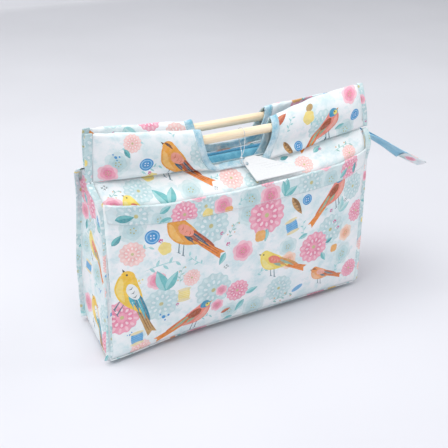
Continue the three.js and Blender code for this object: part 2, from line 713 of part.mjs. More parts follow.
function loopPoints() {
  const beside = (x, y, z) => new THREE.Vector3(x, rodY(SLEEVES.front) + y, ROD_Z + z);
  const points = [
    cardPoint(-7.2, -6, 4.4),
    cardPoint(-6.4, -2, 3),
    cardPoint(-3.8, -0.2, 2.1),
    cardPoint(-1, 0, 1.7),
    cardPoint(0.1, 0, 0),
    cardPoint(-1, 0, -1.7),
    cardPoint(-4, -0.2, -1.9),
    cardPoint(-7, -2.2, -1.2),
    cardPoint(-7.6, -8, 1.2),
    beside(0, -12.4, -21),
    beside(LOOP_X - 1.5, -9.6, -9),
  ];
  for (let k = 0; k <= LOOP_HEAD_STEPS; k++) {
    const turn = Math.PI * (1.1 - (1.3 * k) / LOOP_HEAD_STEPS);
    const reach = [LOOP_ROUND * Math.cos(turn), LOOP_ROUND * Math.sin(turn)];
    points.push(beside(LOOP_X - 0.3 * k, ...reach));
  }
  points.push(beside(LOOP_X - 3.4, 0.5, -12), beside(LOOP_X - 6, -8, -19), beside(LOOP_X - 8, -12.6, -24.5));
  points.push(cardPoint(-6.6, -9.6, 5.8));
  return points;
}

function addTag() {
  add("swing_tag", cardGeometry(), CARD);
  const points = loopPoints();
  const section = new THREE.Shape();
  section.absarc(0, 0, LOOP_RADIUS, 0, Math.PI * 2, false);
  const loop = new THREE.ExtrudeGeometry(section, {
    steps: 64,
    curveSegments: 4,
    extrudePath: new THREE.CatmullRomCurve3(points),
  });
  add("tag_loop", loop, CLEAR_NYLON);
  const lock = new THREE.SphereGeometry(LOCK_RADIUS, 10, 8);
  const middle = points[0].clone().add(points[points.length - 1]).multiplyScalar(0.5);
  lock.translate(middle.x, middle.y, middle.z);
  add("tag_lock", lock, CLEAR_NYLON);
}

addWalls();
addGussets();
addBase();
addPocket();
addSeamBindings();
addHandle("front");
addHandle("back");
addZip();
addTag();

export default bag;
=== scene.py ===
"""A fabric knitting bag with two wooden rod handles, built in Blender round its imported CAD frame."""

import math
import random

import bmesh
import bpy
import numpy as np
from mathutils import Matrix, Vector, noise
from mathutils.geometry import delaunay_2d_cdt


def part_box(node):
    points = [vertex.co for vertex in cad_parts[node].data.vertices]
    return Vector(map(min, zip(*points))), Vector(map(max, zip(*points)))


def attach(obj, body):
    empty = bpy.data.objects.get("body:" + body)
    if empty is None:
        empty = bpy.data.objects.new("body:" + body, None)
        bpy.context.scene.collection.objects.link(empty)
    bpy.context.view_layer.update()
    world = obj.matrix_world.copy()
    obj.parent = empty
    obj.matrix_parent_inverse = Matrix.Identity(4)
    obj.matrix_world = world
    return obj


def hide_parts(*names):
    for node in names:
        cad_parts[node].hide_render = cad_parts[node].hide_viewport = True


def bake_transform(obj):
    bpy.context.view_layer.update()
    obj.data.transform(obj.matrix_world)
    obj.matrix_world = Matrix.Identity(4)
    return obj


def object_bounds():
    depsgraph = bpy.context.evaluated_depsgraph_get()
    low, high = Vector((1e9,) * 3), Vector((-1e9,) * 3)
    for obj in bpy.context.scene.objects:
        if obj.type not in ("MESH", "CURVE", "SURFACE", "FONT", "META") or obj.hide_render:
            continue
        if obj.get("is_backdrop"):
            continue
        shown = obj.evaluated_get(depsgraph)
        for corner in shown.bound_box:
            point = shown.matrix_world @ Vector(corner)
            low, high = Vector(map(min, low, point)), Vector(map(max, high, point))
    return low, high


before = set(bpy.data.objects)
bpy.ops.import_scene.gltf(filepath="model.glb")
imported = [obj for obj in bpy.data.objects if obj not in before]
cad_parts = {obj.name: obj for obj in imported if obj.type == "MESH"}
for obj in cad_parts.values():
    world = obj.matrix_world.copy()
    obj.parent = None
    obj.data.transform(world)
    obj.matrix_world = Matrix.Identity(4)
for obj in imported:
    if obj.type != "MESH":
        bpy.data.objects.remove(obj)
CAD_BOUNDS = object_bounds()

# Lengths below are in millimetres, as in the CAD, and meshes are made in metres.
MM = 0.001


def cad_box(node):
    """A CAD node's lowest and highest corner, in millimetres."""
    low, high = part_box(node)
    return np.array(low) / MM, np.array(high) / MM


# ---- Camera ----
FOCAL_PIXELS = 800
IMAGE_WIDTH = 448
SENSOR = 36
CAMERA_TARGET = Vector((-0.001, 0, 0.1212))
CAMERA_DISTANCE = 1.135
CAMERA_AZIMUTH = math.radians(-29.5)
CAMERA_ELEVATION = math.radians(25.4)


def make_camera():
    data = bpy.data.cameras.new("camera")
    data.sensor_width = SENSOR
    data.lens = SENSOR * FOCAL_PIXELS / IMAGE_WIDTH
    camera = bpy.data.objects.new("camera", data)
    bpy.context.collection.objects.link(camera)
    back = Vector((
        math.sin(CAMERA_AZIMUTH) * math.cos(CAMERA_ELEVATION),
        -math.cos(CAMERA_AZIMUTH) * math.cos(CAMERA_ELEVATION),
        math.sin(CAMERA_ELEVATION),
    ))
    camera.location = CAMERA_TARGET + back * CAMERA_DISTANCE
    camera.rotation_euler = back.to_track_quat("Z", "Y").to_euler()
    bpy.context.scene.camera = camera


make_camera()

# ---- Driving dimensions, from the frame ----
PANEL_LOW, PANEL_HIGH = cad_box("front_panel")
BACK_HIGH = cad_box("back_panel")[1]
BASE_LOW, BASE_HIGH = cad_box("base_panel")
POCKET_HIGH = cad_box("front_pocket")[1]
TAPE_LOW = cad_box("zip_front_tape")[0]
ROD_LOW, ROD_HIGH = cad_box("front_rod")
HALF = PANEL_HIGH[0]
DEPTH = BASE_HIGH[1] - BASE_LOW[1]
CLOTH = BASE_HIGH[2] - BASE_LOW[2]
GAP = 0.4
SEAM_Z = 237
SHOULDER_Z = POCKET_HIGH[2] + 1
SHOULDER_DROP = 7
FRONT_SEAM_Y = -38
BACK_SEAM_Y = 12
FULLNESS = {-1: -PANEL_LOW[1] - DEPTH / 2, 1: BACK_HIGH[1] - DEPTH / 2}
SEAM_Y = {-1: FRONT_SEAM_Y, 1: BACK_SEAM_Y}
STRIP_WIDTH = 9
POCKET_GAP = 4.5
POCKET_TOP_DROP = 5
HEM_WIDTH = 26
ROD_RADIUS = (ROD_HIGH[2] - ROD_LOW[2]) / 2
ROD_Z = (ROD_HIGH[2] + ROD_LOW[2]) / 2
SLEEVE_BASE_Z = 238.8
SLEEVE_HALF_THICKNESS = 9
SLEEVE_EDGE = 1.4
SLEEVE_TAPER = 30
NOTCH_LEFT_X = -57
NOTCH_RIGHT_X = 53
NOTCH_Z = 245
NOTCH_CORNER = 34
NOTCH_BAND = 11
ZIP_Y = (FRONT_SEAM_Y + BACK_SEAM_Y) / 2
ZIP_Z = TAPE_LOW[2]
LINING = 0.6
LINING_INSET = 3.2
BINDING_WIDTH = 8
BINDING_THICKNESS = 0.5
HEM_THICKNESS = 0.6
LINING_STEP = 5.0
SLEEVES = {
    "front": {"side": -1, "left": 303, "right": 304, "notch": 283, "lean_left": -5, "lean_right": 11,
              "shift": 4.5, "end_pull": 0},
    "back": {"side": 1, "left": 294, "right": 292, "notch": 281, "lean_left": -8, "lean_right": -23,
             "shift": 10.5, "end_pull": 7},
}


# ---- Curves and grids ----
def mix(a, b, t):
    return a + (b - a) * t


def ease(t):
    t = np.clip(t, 0, 1)
    return t * t * (3 - 2 * t)


def fullness(share):
    return max(0.0, 1 - share ** 4)


def rise(z):
    return np.sin(math.pi / 2 * np.clip(z / (0.72 * SHOULDER_Z), 0, 1)) ** 0.8


def length_of(line):
    return np.linalg.norm(np.diff(line, axis=0), axis=1).sum()


def signed_area(outline):
    """The area inside an outline, over 0 where it runs anticlockwise."""
    after = np.roll(outline, -1, axis=0)
    return 0.5 * np.sum(outline[:, 0] * after[:, 1] - after[:, 0] * outline[:, 1])


def resample(line, count):
    """count places evenly spaced along a polyline, and the polyline's length."""
    line = np.asarray(line, float)
    steps = np.linalg.norm(np.diff(line, axis=0), axis=1)
    along = np.concatenate([[0], np.cumsum(steps)])
    at = np.linspace(0, along[-1], count)
    return np.stack([np.interp(at, along, line[:, k]) for k in range(line.shape[1])], 1), along[-1]


def rounded(line, steps=6, closed=False):
    """A Catmull-Rom curve through points."""
    points = np.asarray(line, float)
    if closed:
        padded = np.concatenate([points[-1:], points, points[:2]])
    else:
        first = 2 * points[:1] - points[1:2]
        last = 2 * points[-1:] - points[-2:-1]
        padded = np.concatenate([first, points, last])
    made = []
    for k in range(1, len(padded) - 2):
        for t in np.linspace(0, 1, steps, endpoint=False):
            made.append(catmull(t) @ padded[k - 1:k + 3])
    if not closed:
        made.append(points[-1])
    return np.array(made)


def catmull(t):
    """The weights of four neighbouring places at share t between the middle two."""
    t = np.asarray(t, float)
    return np.stack([
        -0.5 * t + t ** 2 - 0.5 * t ** 3,
        1 - 2.5 * t ** 2 + 1.5 * t ** 3,
        0.5 * t + 2 * t ** 2 - 1.5 * t ** 3,
        -0.5 * t ** 2 + 0.5 * t ** 3,
    ], -1)


def cloud(points, scale, seed=0):
    """Smooth noise from -1 to 1 at each place, with features about scale millimetres wide."""
    shifted = np.asarray(points, float) / np.asarray(scale, float) + 17.3 * (seed + 1)
    return np.array([noise.noise(Vector(p)) for p in shifted.reshape(-1, 3)]).reshape(shifted.shape[:-1])


class Cloth:
    """A piece of cloth as a grid of columns across and rows up. Its flat coordinates are in millimetres along
    the cloth: x from its left edge and y from its lower edge."""

    def __init__(self, columns, rows, outward, relief=None):
        lines = [resample(line, rows) for line in columns]
        self.grid = np.array([points for points, _ in lines])
        self.lengths = np.array([length for _, length in lines])
        middle = self.grid[:, rows // 2]
        self.width = length_of(middle)
        self.outward = np.array(outward, float)
        self.face()
        if relief is not None:
            self.grid = self.grid + self.normals * relief(self.grid)[..., None]
            self.face()

    def face(self):
        """Works out which way the cloth faces at each place of the grid."""
        across = np.gradient(self.grid, axis=0)
        up = np.gradient(self.grid, axis=1)
        normals = np.cross(across, up)
        normals /= np.maximum(np.linalg.norm(normals, axis=2, keepdims=True), 1e-9)
        if self.outward.ndim == 1:
            count = self.grid.shape[1]
            facing = (normals[:, : max(2, count // 3)] @ self.outward).mean()
            normals *= 1 if facing >= 0 else -1
        self.normals = normals

    def length(self, x):
        return np.interp(np.asarray(x) / self.width, np.linspace(0, 1, len(self.lengths)), self.lengths)

    def at(self, flat):
        """The places in space of flat coordinates, and the outward direction there."""
        flat = np.asarray(flat, float)
        count_u, count_v = self.grid.shape[:2]
        u = flat[:, 0] / self.width * (count_u - 1)
        v = flat[:, 1] / self.length(flat[:, 0]) * (count_v - 1)
        i = np.clip(np.floor(u).astype(int), 0, count_u - 2)
        j = np.clip(np.floor(v).astype(int), 0, count_v - 2)
        weight_u = catmull(np.clip(u - i, -2, 3))
        weight_v = catmull(np.clip(v - j, -2, 3))
        outside = (u - i < 0) | (u - i > 1)
        weight_u[outside] = self.straight((u - i)[outside])
        outside = (v - j < 0) | (v - j > 1)
        weight_v[outside] = self.straight((v - j)[outside])
        places = np.zeros((len(flat), 3))
        normals = np.zeros((len(flat), 3))
        for a in range(4):
            for b in range(4):
                at_u = np.clip(i + a - 1, 0, count_u - 1)
                at_v = np.clip(j + b - 1, 0, count_v - 1)
                weight = (weight_u[:, a] * weight_v[:, b])[:, None]
                places += weight * self.grid[at_u, at_v]
                normals += weight * self.normals[at_u, at_v]
        normals /= np.maximum(np.linalg.norm(normals, axis=1, keepdims=True), 1e-9)
        return places, normals

    @staticmethod
    def straight(t):
        zero = np.zeros_like(t)
        return np.stack([zero, 1 - t, t, zero], -1)

    def outline(self, step=6):
        """The cloth's own edge in flat coordinates."""
        xs = np.linspace(0, self.width, max(2, int(self.width / step)) + 1)
        top = [(x, self.length(x)) for x in xs[::-1]]
        return [(x, 0.0) for x in xs] + top


# ---- Mesh making ----
def link(name, data):
    piece = bpy.data.objects.new(name, data)
    bpy.context.collection.objects.link(piece)
    return piece


def make_mesh(name, points, faces, material, smooth=True, flat=None, paint=None):
    """points are in millimetres. flat is each point's flat coordinates and paint each face's colour."""
    data = bpy.data.meshes.new(name)
    data.from_pydata((np.asarray(points, float) * MM).tolist(), [], faces)
    data.update()
    data.polygons.foreach_set("use_smooth", [smooth] * len(data.polygons))
    if flat is not None:
        layer = data.attributes.new("flat", "FLOAT_VECTOR", "POINT")
        placed = np.zeros((len(flat), 3))
        placed[:, :2] = np.asarray(flat) * MM
        layer.data.foreach_set("vector", placed.ravel())
    if paint is not None:
        layer = data.color_attributes.new("print", "FLOAT_COLOR", "CORNER")
        sizes = [len(face) for face in faces]
        layer.data.foreach_set("color", np.repeat(np.asarray(paint, float), sizes, axis=0).ravel())
    data.materials.append(material)
    return link(name, data)


def two_sided(places, normals, faces, thickness):
    """A closed sheet from its outer face: the points and faces of both sides and the rim."""
    count = len(places)
    points = np.concatenate([places, places - normals * thickness])
    rim = {}
    for face in faces:
        for a, b in zip(face, face[1:] + face[:1]):
            if (b, a) in rim:
                del rim[(b, a)]
            else:
                rim[(a, b)] = face
    inner = [tuple(i + count for i in reversed(face)) for face in faces]
    sides = [(b, a, a + count, b + count) for a, b in rim]
    owners = list(rim.values())
    return points, inner, sides, owners


def clear_colour(hexadecimal, alpha=1.0):
    """A linear colour from its sRGB hexadecimal."""
    parts = [int(hexadecimal[k:k + 2], 16) / 255 for k in (0, 2, 4)]
    linear = [c / 12.92 if c <= 0.04045 else ((c + 0.055) / 1.055) ** 2.4 for c in parts]
    return (*linear, alpha)


def tell(piece, body, node):
    """Attaches a piece, where given, to the body it moves with, and hides the CAD node it stands for."""
    if body:
        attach(piece, body)
    if node:
        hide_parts(node)


UNPRINTED = (1.0, 1.0, 1.0, 0.0)
REVERSE_STRENGTH = 0.45
FLAT_STEP = 5.0


def numbered(outlines):
    """The corners of each outline as whole numbers that run on from one outline to the next."""
    faces = []
    start = 0
    for outline in outlines:
        faces.append(list(range(start, start + len(outline))))
        start += len(outline)
    return faces


def printed_piece(name, cloth, motifs, material, cuts=(), outline=None, thickness=CLOTH, step=FLAT_STEP):
    """Cuts a piece from printed cloth. motifs are (outline, colour) pairs in its flat coordinates, later ones
    on top, and cuts are the outlines of its holes."""
    edge = cloth.outline() if outline is None else outline
    shapes = [anticlockwise(line) for line in [edge, *cuts, *(drawn for drawn, _ in motifs)]]
    low = np.min(edge, axis=0)
    high = np.max(edge, axis=0)
    points = [Vector(p) for line in shapes for p in line]
    for x in np.arange(low[0] + step / 2, high[0], step):
        for y in np.arange(low[1] + step / 2, high[1], step):
            points.append(Vector((x, y)))
    verts, _, triangles, _, _, owners = delaunay_2d_cdt(points, [], numbered(shapes), 0, 1e-4, True)
    first_motif = 1 + len(cuts)
    kept = []
    paint = []
    for triangle, owner in zip(triangles, owners):
        if 0 not in owner or any(0 < k < first_motif for k in owner):
            continue
        top = max(owner)
        kept.append(tuple(triangle))
        paint.append(UNPRINTED if top < first_motif else motifs[top - first_motif][1])
    used = sorted({i for face in kept for i in face})
    place = {old: new for new, old in enumerate(used)}
    kept = [tuple(place[i] for i in face) for face in kept]
    flat = np.array([verts[i] for i in used], float)
    places, normals = cloth.at(flat)
    a, b, c = (places[[face[k] for face in kept]] for k in range(3))
    facing = (np.cross(b - a, c - a) * normals[[face[0] for face in kept]]).sum()
    if facing < 0:
        kept = [tuple(reversed(face)) for face in kept]
    points, inner, sides, owners = two_sided(places, normals, kept, thickness)
    colours = dict(zip(kept, paint))
    reverse = [(r, g, b, REVERSE_STRENGTH * alpha) for r, g, b, alpha in paint]
    rim_paint = [colours[owner] for owner in owners]
    return make_mesh(name, points, kept + inner + sides, material, flat=np.concatenate([flat, flat]),
                     paint=paint + reverse + rim_paint)


def plain_piece(name, cloth, material, thickness=CLOTH, step=4.0, columns=None, rows=None):
    """A rectangular piece of plain cloth as a closed grid of quads."""
    count_u = columns or max(2, int(cloth.width / step))
    count_v = rows or max(2, int(cloth.lengths.mean() / step))
    xs = np.linspace(0, cloth.width, count_u + 1)
    flat = np.array([(x, t * cloth.length(x)) for x in xs for t in np.linspace(0, 1, count_v + 1)])
    at = lambda i, j: i * (count_v + 1) + j
    faces = [(at(i, j), at(i + 1, j), at(i + 1, j + 1), at(i, j + 1))
             for i in range(count_u) for j in range(count_v)]
    places, normals = cloth.at(flat)
    a, b, c = (places[[face[k] for face in faces]] for k in range(3))
    if (np.cross(b - a, c - a) * normals[[face[0] for face in faces]]).sum() < 0:
        faces = [tuple(reversed(face)) for face in faces]
    points, inner, sides, _ = two_sided(places, normals, faces, thickness)
    return make_mesh(name, points, faces + inner + sides, material, flat=np.concatenate([flat, flat]))


def frames_along(points):
    """The direction along a polyline at each point, and two square to it that turn as little as they can."""
    points = np.asarray(points, float)
    along = np.gradient(points, axis=0)
    along /= np.linalg.norm(along, axis=1, keepdims=True)
    seed = np.array((0, 0, 1.0)) if abs(along[0][2]) < 0.9 else np.array((1.0, 0, 0))
    side = np.cross(along[0], seed)
    side /= np.linalg.norm(side)
    sides = []
    for direction in along:
        side = side - direction * (side @ direction)
        side /= np.linalg.norm(side)
        sides.append(side.copy())
    sides = np.array(sides)
    return along, sides, np.cross(along, sides)


def tube(points, radius, sides=8):
    """The points and faces of a closed round bar along a polyline."""
    points = np.asarray(points, float)
    _, side, up = frames_along(points)
    turn = np.linspace(0, 2 * math.pi, sides, endpoint=False)
    radius = np.broadcast_to(radius, len(points))
    ring = np.cos(turn)[None, :, None] * side[:, None] + np.sin(turn)[None, :, None] * up[:, None]
    made = (points[:, None] + ring * radius[:, None, None]).reshape(-1, 3)
    faces = []
    for k in range(len(points) - 1):
        for i in range(sides):
            j = (i + 1) % sides
            faces.append((k * sides + i, k * sides + j, (k + 1) * sides + j, (k + 1) * sides + i))
    last = (len(points) - 1) * sides
    faces.append(tuple(reversed(range(sides))))
    faces.append(tuple(range(last, last + sides)))
    return made, faces


def join(parts):
    """Several (points, faces) as one."""
    points = []
    faces = []
    start = 0
    for part, part_faces in parts:
        points.append(np.asarray(part))
        faces += [tuple(i + start for i in face) for face in part_faces]
        start += len(part)
    return np.concatenate(points), faces


STITCH_PITCH = 3.4
STITCH_LENGTH = 2.5
STITCH_RADIUS = 0.24


class Stitching:
    """Rows of separate stitches, gathered into one piece."""

    def __init__(self):
        self.parts = []

    def row(self, places, normals, lift=0.12, closed=False):
        both = np.concatenate([places, normals], axis=1)
        if closed:
            both = np.concatenate([both, both[:1]])
        steps = np.linalg.norm(np.diff(both[:, :3], axis=0), axis=1)
        along = np.concatenate([[0], np.cumsum(steps)])
        for start in np.arange(0.5, along[-1] - STITCH_LENGTH, STITCH_PITCH):
            at = start + STITCH_LENGTH * np.array((0, 0.14, 0.5, 0.86, 1))
            line = np.stack([np.interp(at, along, both[:, k]) for k in range(6)], 1)
            arch = lift + STITCH_RADIUS * np.array((-1.6, 0.1, 0.5, 0.1, -1.6))
            centre = line[:, :3] + line[:, 3:] * arch[:, None]
            self.parts.append(tube(centre, STITCH_RADIUS, sides=6))

    def on(self, cloth, flat, lift=0.12, closed=False):
        places, normals = cloth.at(np.asarray(flat, float))
        self.row(places, normals, lift, closed)

    def make(self, name, material):
        points, faces = join(self.parts)
        return make_mesh(name, points, faces, material)


# ---- Materials ----
class Shader:
    """Builds one procedural material round a Principled shader."""

    def __init__(self, name, **fixed):
        self.material = bpy.data.materials.new(name)
        self.material.use_nodes = True
        self.tree = self.material.node_tree
        self.shader = self.tree.nodes["Principled BSDF"]
        for socket, value in fixed.items():
            self.shader.inputs[socket.replace("_", " ")].default_value = value

    def node(self, kind, out=0, settings=None, **inputs):
        made = self.tree.nodes.new(kind)
        for key, value in (settings or {}).items():
            setattr(made, key, value)
        for key, value in inputs.items():
            socket = made.inputs[int(key[1:])] if key[0] == "i" and key[1:].isdigit() else made.inputs[key]
            if isinstance(value, bpy.types.NodeSocket):
                self.tree.links.new(value, socket)
            else:
                socket.default_value = value
        return made.outputs[out]

    def math(self, operation, a, b=0.0):
        return self.node("ShaderNodeMath", settings={"operation": operation}, i0=a, i1=b)

    def place(self):
        return self.node("ShaderNodeTexCoord", out=3)

    def flat(self):
        return self.node("ShaderNodeAttribute", out=1, settings={"attribute_name": "flat"})

    def paint(self):
        """The piece's own paint: its colour, and 1 where the cloth is printed."""
        made = self.tree.nodes.new("ShaderNodeAttribute")
        made.attribute_name = "print"
        return made.outputs[0], made.outputs[3]

    def noise(self, where, scale, detail=3.0, roughness=0.5):
        return self.node("ShaderNodeTexNoise", Vector=where, Scale=scale, Detail=detail, Roughness=roughness)

    def stretch(self, where, scale):
        return self.node("ShaderNodeMapping", Vector=where, Scale=scale)

    def ramp(self, value, stops):
        made = self.tree.nodes.new("ShaderNodeValToRGB")
        elements = made.color_ramp.elements
        while len(elements) < len(stops):
            elements.new(0.5)
        for element, (position, colour) in zip(elements, stops):
            element.position = position
            element.color = colour if len(colour) == 4 else clear_colour(colour)
        self.tree.links.new(value, made.inputs[0])
        return made.outputs[0]

    def roughness(self, value, share, least):
        return self.math("ADD", self.math("MULTIPLY", value, share), least)

    def blend(self, share, a, b, kind="MIX"):
        return self.node("ShaderNodeMix", out=2, settings={"data_type": "RGBA", "blend_type": kind},
                         i0=share, i6=a, i7=b)

    def weave(self, where, pitch, depth, grain=0.4):
        """Bump of a plain weave: threads pass over and under each other every pitch metres."""
        split = self.tree.nodes.new("ShaderNodeSeparateXYZ")
        self.tree.links.new(where, split.inputs[0])
        turn = math.pi / pitch
        warp = self.math("SINE", self.math("MULTIPLY", split.outputs[0], turn))
        weft = self.math("SINE", self.math("MULTIPLY", split.outputs[1], turn))
        check = self.math("MULTIPLY", warp, weft)
        fibre = self.noise(where, 0.35 / pitch, 2.0, 0.7)
        height = self.math("ADD", check, self.math("MULTIPLY", fibre, grain))
        bump = self.node("ShaderNodeBump", Height=height, Strength=0.6, Distance=depth)
        self.tree.links.new(bump, self.shader.inputs["Normal"])
        return check

    def finish(self, colour=None, roughness=None, normal=None):
        for socket, value in (("Base Color", colour), ("Roughness", roughness), ("Normal", normal)):
            if value is not None:
                self.tree.links.new(value, self.shader.inputs[socket])
        return self.material


def printed_material():
    """Coated cotton printed in watercolour: a pale washed ground, and the motifs of the piece's own paint."""
    s = Shader("printed_cloth", Sheen_Weight=0.12, Sheen_Roughness=0.4, Specular_IOR_Level=0.35)
    flat = s.flat()
    wash = s.ramp(s.noise(flat, 22.0, 5.0, 0.62),
                  [(0.32, "d3e6ea"), (0.46, "e9f1f3"), (0.58, "f4f5f7"), (0.8, "eff1f6")])
    pool = s.ramp(s.noise(flat, 55.0, 5.0, 0.66), [(0.5, (0, 0, 0, 1)), (0.64, (0.6, 0.6, 0.6, 1))])
    ground = s.blend(pool, wash, clear_colour("c2dfe4"))
    dye_colour, printed = s.paint()
    bleed = s.ramp(s.noise(flat, 210.0, 4.0, 0.65), [(0.3, (0.84, 0.84, 0.84, 1)), (0.6, (1, 1, 1, 1))])
    dye = s.blend(bleed, clear_colour("f4f2ee"), dye_colour)
    tone = s.ramp(s.noise(flat, 95.0, 3.0, 0.6), [(0.35, (0.9, 0.9, 0.9, 1)), (0.6, (1, 1, 1, 1))])
    toned = s.blend(1.0, dye, tone, "MULTIPLY")
    colour = s.blend(printed, ground, toned)
    check = s.weave(flat, 0.0006, 0.00006)
    rough = s.roughness(check, 0.04, 0.58)
    return s.finish(colour, rough)


def plain_cloth_material(name, light, deep, pitch=0.0007, mottle=70.0, sheen=0.2):
    s = Shader(name, Sheen_Weight=sheen, Sheen_Roughness=0.45, Specular_IOR_Level=0.3)
    flat = s.flat()
    wash = s.ramp(s.noise(flat, mottle, 5.0, 0.65), [(0.34, deep), (0.62, light)])
    check = s.weave(flat, pitch, 0.00008, 0.6)
    worn = s.ramp(s.noise(flat, 900.0, 2.0, 0.6), [(0.3, (0.88, 0.88, 0.88, 1)), (0.6, (1, 1, 1, 1))])
    colour = s.blend(1.0, wash, worn, "MULTIPLY")
    rough = s.roughness(check, 0.05, 0.74)
    return s.finish(colour, rough)


def wood_material():
    """Pale turned beech: long grain along X, short darker flecks and a thin satin seal."""
    s = Shader("rod_wood", Coat_Weight=0.12, Coat_Roughness=0.35)
    place = s.place()
    grain = s.noise(s.stretch(place, (9.0, 260.0, 260.0)), 1.0, 6.0, 0.62)
    flecks = s.noise(s.stretch(place, (60.0, 1400.0, 1400.0)), 1.0, 3.0, 0.5)
    base = s.ramp(grain, [(0.25, "ead0aa"), (0.46, "f7e2c3"), (0.62, "fbecd3"), (0.8, "fdf3e0")])
    fleck = s.ramp(flecks, [(0.3, (0.78, 0.7, 0.6, 1)), (0.42, (1, 1, 1, 1))])
    colour = s.blend(0.7, base, fleck, "MULTIPLY")
    height = s.math("ADD", s.math("MULTIPLY", grain, 0.6), s.math("MULTIPLY", flecks, 0.4))
    bump = s.node("ShaderNodeBump", Height=height, Strength=0.35, Distance=0.0002)
    rough = s.roughness(grain, 0.2, 0.42)
    return s.finish(colour, rough, bump)


def metal_material():
    """Nickel-plated zinc with fine handling scratches."""
    s = Shader("zip_metal", Metallic=1.0)
    place = s.place()
    cast = s.noise(place, 320.0, 4.0, 0.6)
    scratch = s.noise(s.stretch(place, (400.0, 6000.0, 2500.0)), 1.0, 3.0, 0.6)
    colour = s.ramp(cast, [(0.3, "aeb2b8"), (0.7, "d3d6da")])
    rough = s.roughness(scratch, 0.25, 0.2)
    bump = s.node("ShaderNodeBump", Height=scratch, Strength=0.25, Distance=0.00005)
    return s.finish(colour, rough, bump)


def nylon_material(name, cast, stops, handled, rough, **fixed):
    """Smooth nylon with a faint cast of colour, dulled in places by handling."""
    s = Shader(name, **fixed)
    place = s.place()
    tint = s.ramp(s.noise(place, *cast), stops)
    return s.finish(tint, s.roughness(s.noise(place, handled), *rough))


def card_material():
    """White card with pressed fibres, and faint marks from the piece's own paint."""
    s = Shader("card", Specular_IOR_Level=0.3)
    flat = s.flat()
    fibre = s.ramp(s.noise(flat, 420.0, 5.0, 0.7), [(0.3, "dfe1e2"), (0.7, "e9ebed")])
    ink, printed = s.paint()
    colour = s.blend(printed, fibre, ink)
    height = s.noise(flat, 1500.0, 3.0, 0.6)
    bump = s.node("ShaderNodeBump", Height=height, Strength=0.3, Distance=0.00006)
    rough = s.roughness(height, 0.15, 0.6)
    return s.finish(colour, rough, bump)


def grained_material(name, grain, stops, bump, rough, **fixed):
    """One grain drives the colour, the bump and the roughness."""
    s = Shader(name, **fixed)
    fibre = s.noise(s.place(), *grain)
    colour = s.ramp(fibre, stops)
    relief = s.node("ShaderNodeBump", Height=fibre, Strength=bump[0], Distance=bump[1])
    return s.finish(colour, s.roughness(fibre, *rough), relief)


PRINTED = printed_material()
LINING_CLOTH = plain_cloth_material("lining_cloth", "e3eef1", "c4dde3")
BLUE_BINDING = plain_cloth_material("blue_binding", "e4f1f6", "7cbcd3", pitch=0.0006, mottle=60.0)
ZIP_TAPE = plain_cloth_material("zip_tape", "a9dbf1", "7cc3e4", pitch=0.0009, mottle=60.0, sheen=0.3)
# Painted shade: a darker copy of the zip tape's own colour (ZIP_TAPE) for the tape lying in the shadow of the
# rods and sleeves
ZIP_TAPE_PAINTED_SHADE = plain_cloth_material("zip_tape_painted_shade", "73b4cb", "3f8aa9", pitch=0.0009, mottle=60.0, sheen=0.3)
WOOD = wood_material()
METAL = metal_material()
NYLON = nylon_material("zip_nylon", (220.0, 3.0, 0.5), [(0.3, "3d93bb"), (0.7, "62b1d4")], 900.0, (0.2, 0.32),
                       Specular_IOR_Level=0.5)
CARD = card_material()
CLEAR_NYLON = nylon_material(
    "clear_nylon", (500.0, 2.0), [(0.3, "e6edf2"), (0.7, "fafcff")], 1800.0, (0.15, 0.12),
    Transmission_Weight=0.3, IOR=1.5, Specular_IOR_Level=0.6)
BOARD = grained_material(
    "board", (700.0, 6.0, 0.75), [(0.3, "a99a80"), (0.55, "c3b496"), (0.8, "d3c7ae")], (0.4, 0.0002),
    (0.15, 0.8))
THREAD = grained_material(
    "thread", (1600.0, 3.0, 0.6), [(0.3, "c3d6da"), (0.7, "e6eff0")], (0.5, 0.0001), (0.2, 0.5),
    Sheen_Weight=0.3, Specular_IOR_Level=0.4)

# ---- The print's motifs ----
# Each motif is a list of (outline, colour) with its own size of about 1, later ones on top.
PINKS = ("f4a5bc", "fac8d4", "ec8caa", "fcd8e1")
BLUSH = ("fad0cc", "fce0dc", "f7bfbd", "fdece8")
GHOST = ("c9e2e5", "dbecee", "bddbdf", "e6f1f3")
TEAL = "6fc0c3"
PALE_TEAL = "a3d8da"
DEEP_TEAL = "4d9fa8"
MAGENTA = "cf5f9a"
BLUE = "3f98d6"
PALE_BLUE = "9ccdec"
YELLOW = "f5e08a"
INK = "3f5257"


def anticlockwise(outline):
    outline = np.asarray(outline, float)
    return outline if signed_area(outline) > 0 else outline[::-1]


def ring(radius, count, wave=0.0, lobes=0, turned=0.0, centre=(0, 0)):
    turn = np.linspace(0, 2 * math.pi, count, endpoint=False)
    reach = radius * (1 + wave * np.abs(np.sin(lobes * turn / 2)))
    return np.stack([
        centre[0] + reach * np.cos(turn + turned),
        centre[1] + reach * np.sin(turn + turned),
    ], 1)


def shape(outline, colour):
    return (np.asarray(outline, float), clear_colour(colour))


def dahlia(colours=PINKS):
    outer, light, deep, pale = colours
    parts = [shape(ring(0.88, 54, 0.14, 13), outer)]
    for k in range(13):
        turn = 2 * math.pi * (k + 0.5) / 13
        centre = (0.76 * math.cos(turn), 0.76 * math.sin(turn))
        parts.append(shape(petal(0.34, 0.09, turn, centre), light))
    parts.append(shape(ring(0.56, 40, 0.16, 10), deep))
    for k in range(10):
        turn = 2 * math.pi * (k + 0.5) / 10
        centre = (0.46 * math.cos(turn), 0.46 * math.sin(turn))
        parts.append(shape(petal(0.26, 0.08, turn, centre), pale))
    parts.append(shape(ring(0.27, 21, 0.18, 7), outer))
    parts.append(shape(ring(0.12, 9), "c9c38a"))
    return parts


def petal(length, half, turn, centre):
    outline = np.array([(-0.5, 0), (-0.2, 0.8), (0.25, 0.9), (0.5, 0), (0.25, -0.9), (-0.2, -0.8)])
    outline = outline * (length, half)
    c, s = math.cos(turn), math.sin(turn)
    return outline @ np.array(((c, s), (-s, c))) + centre


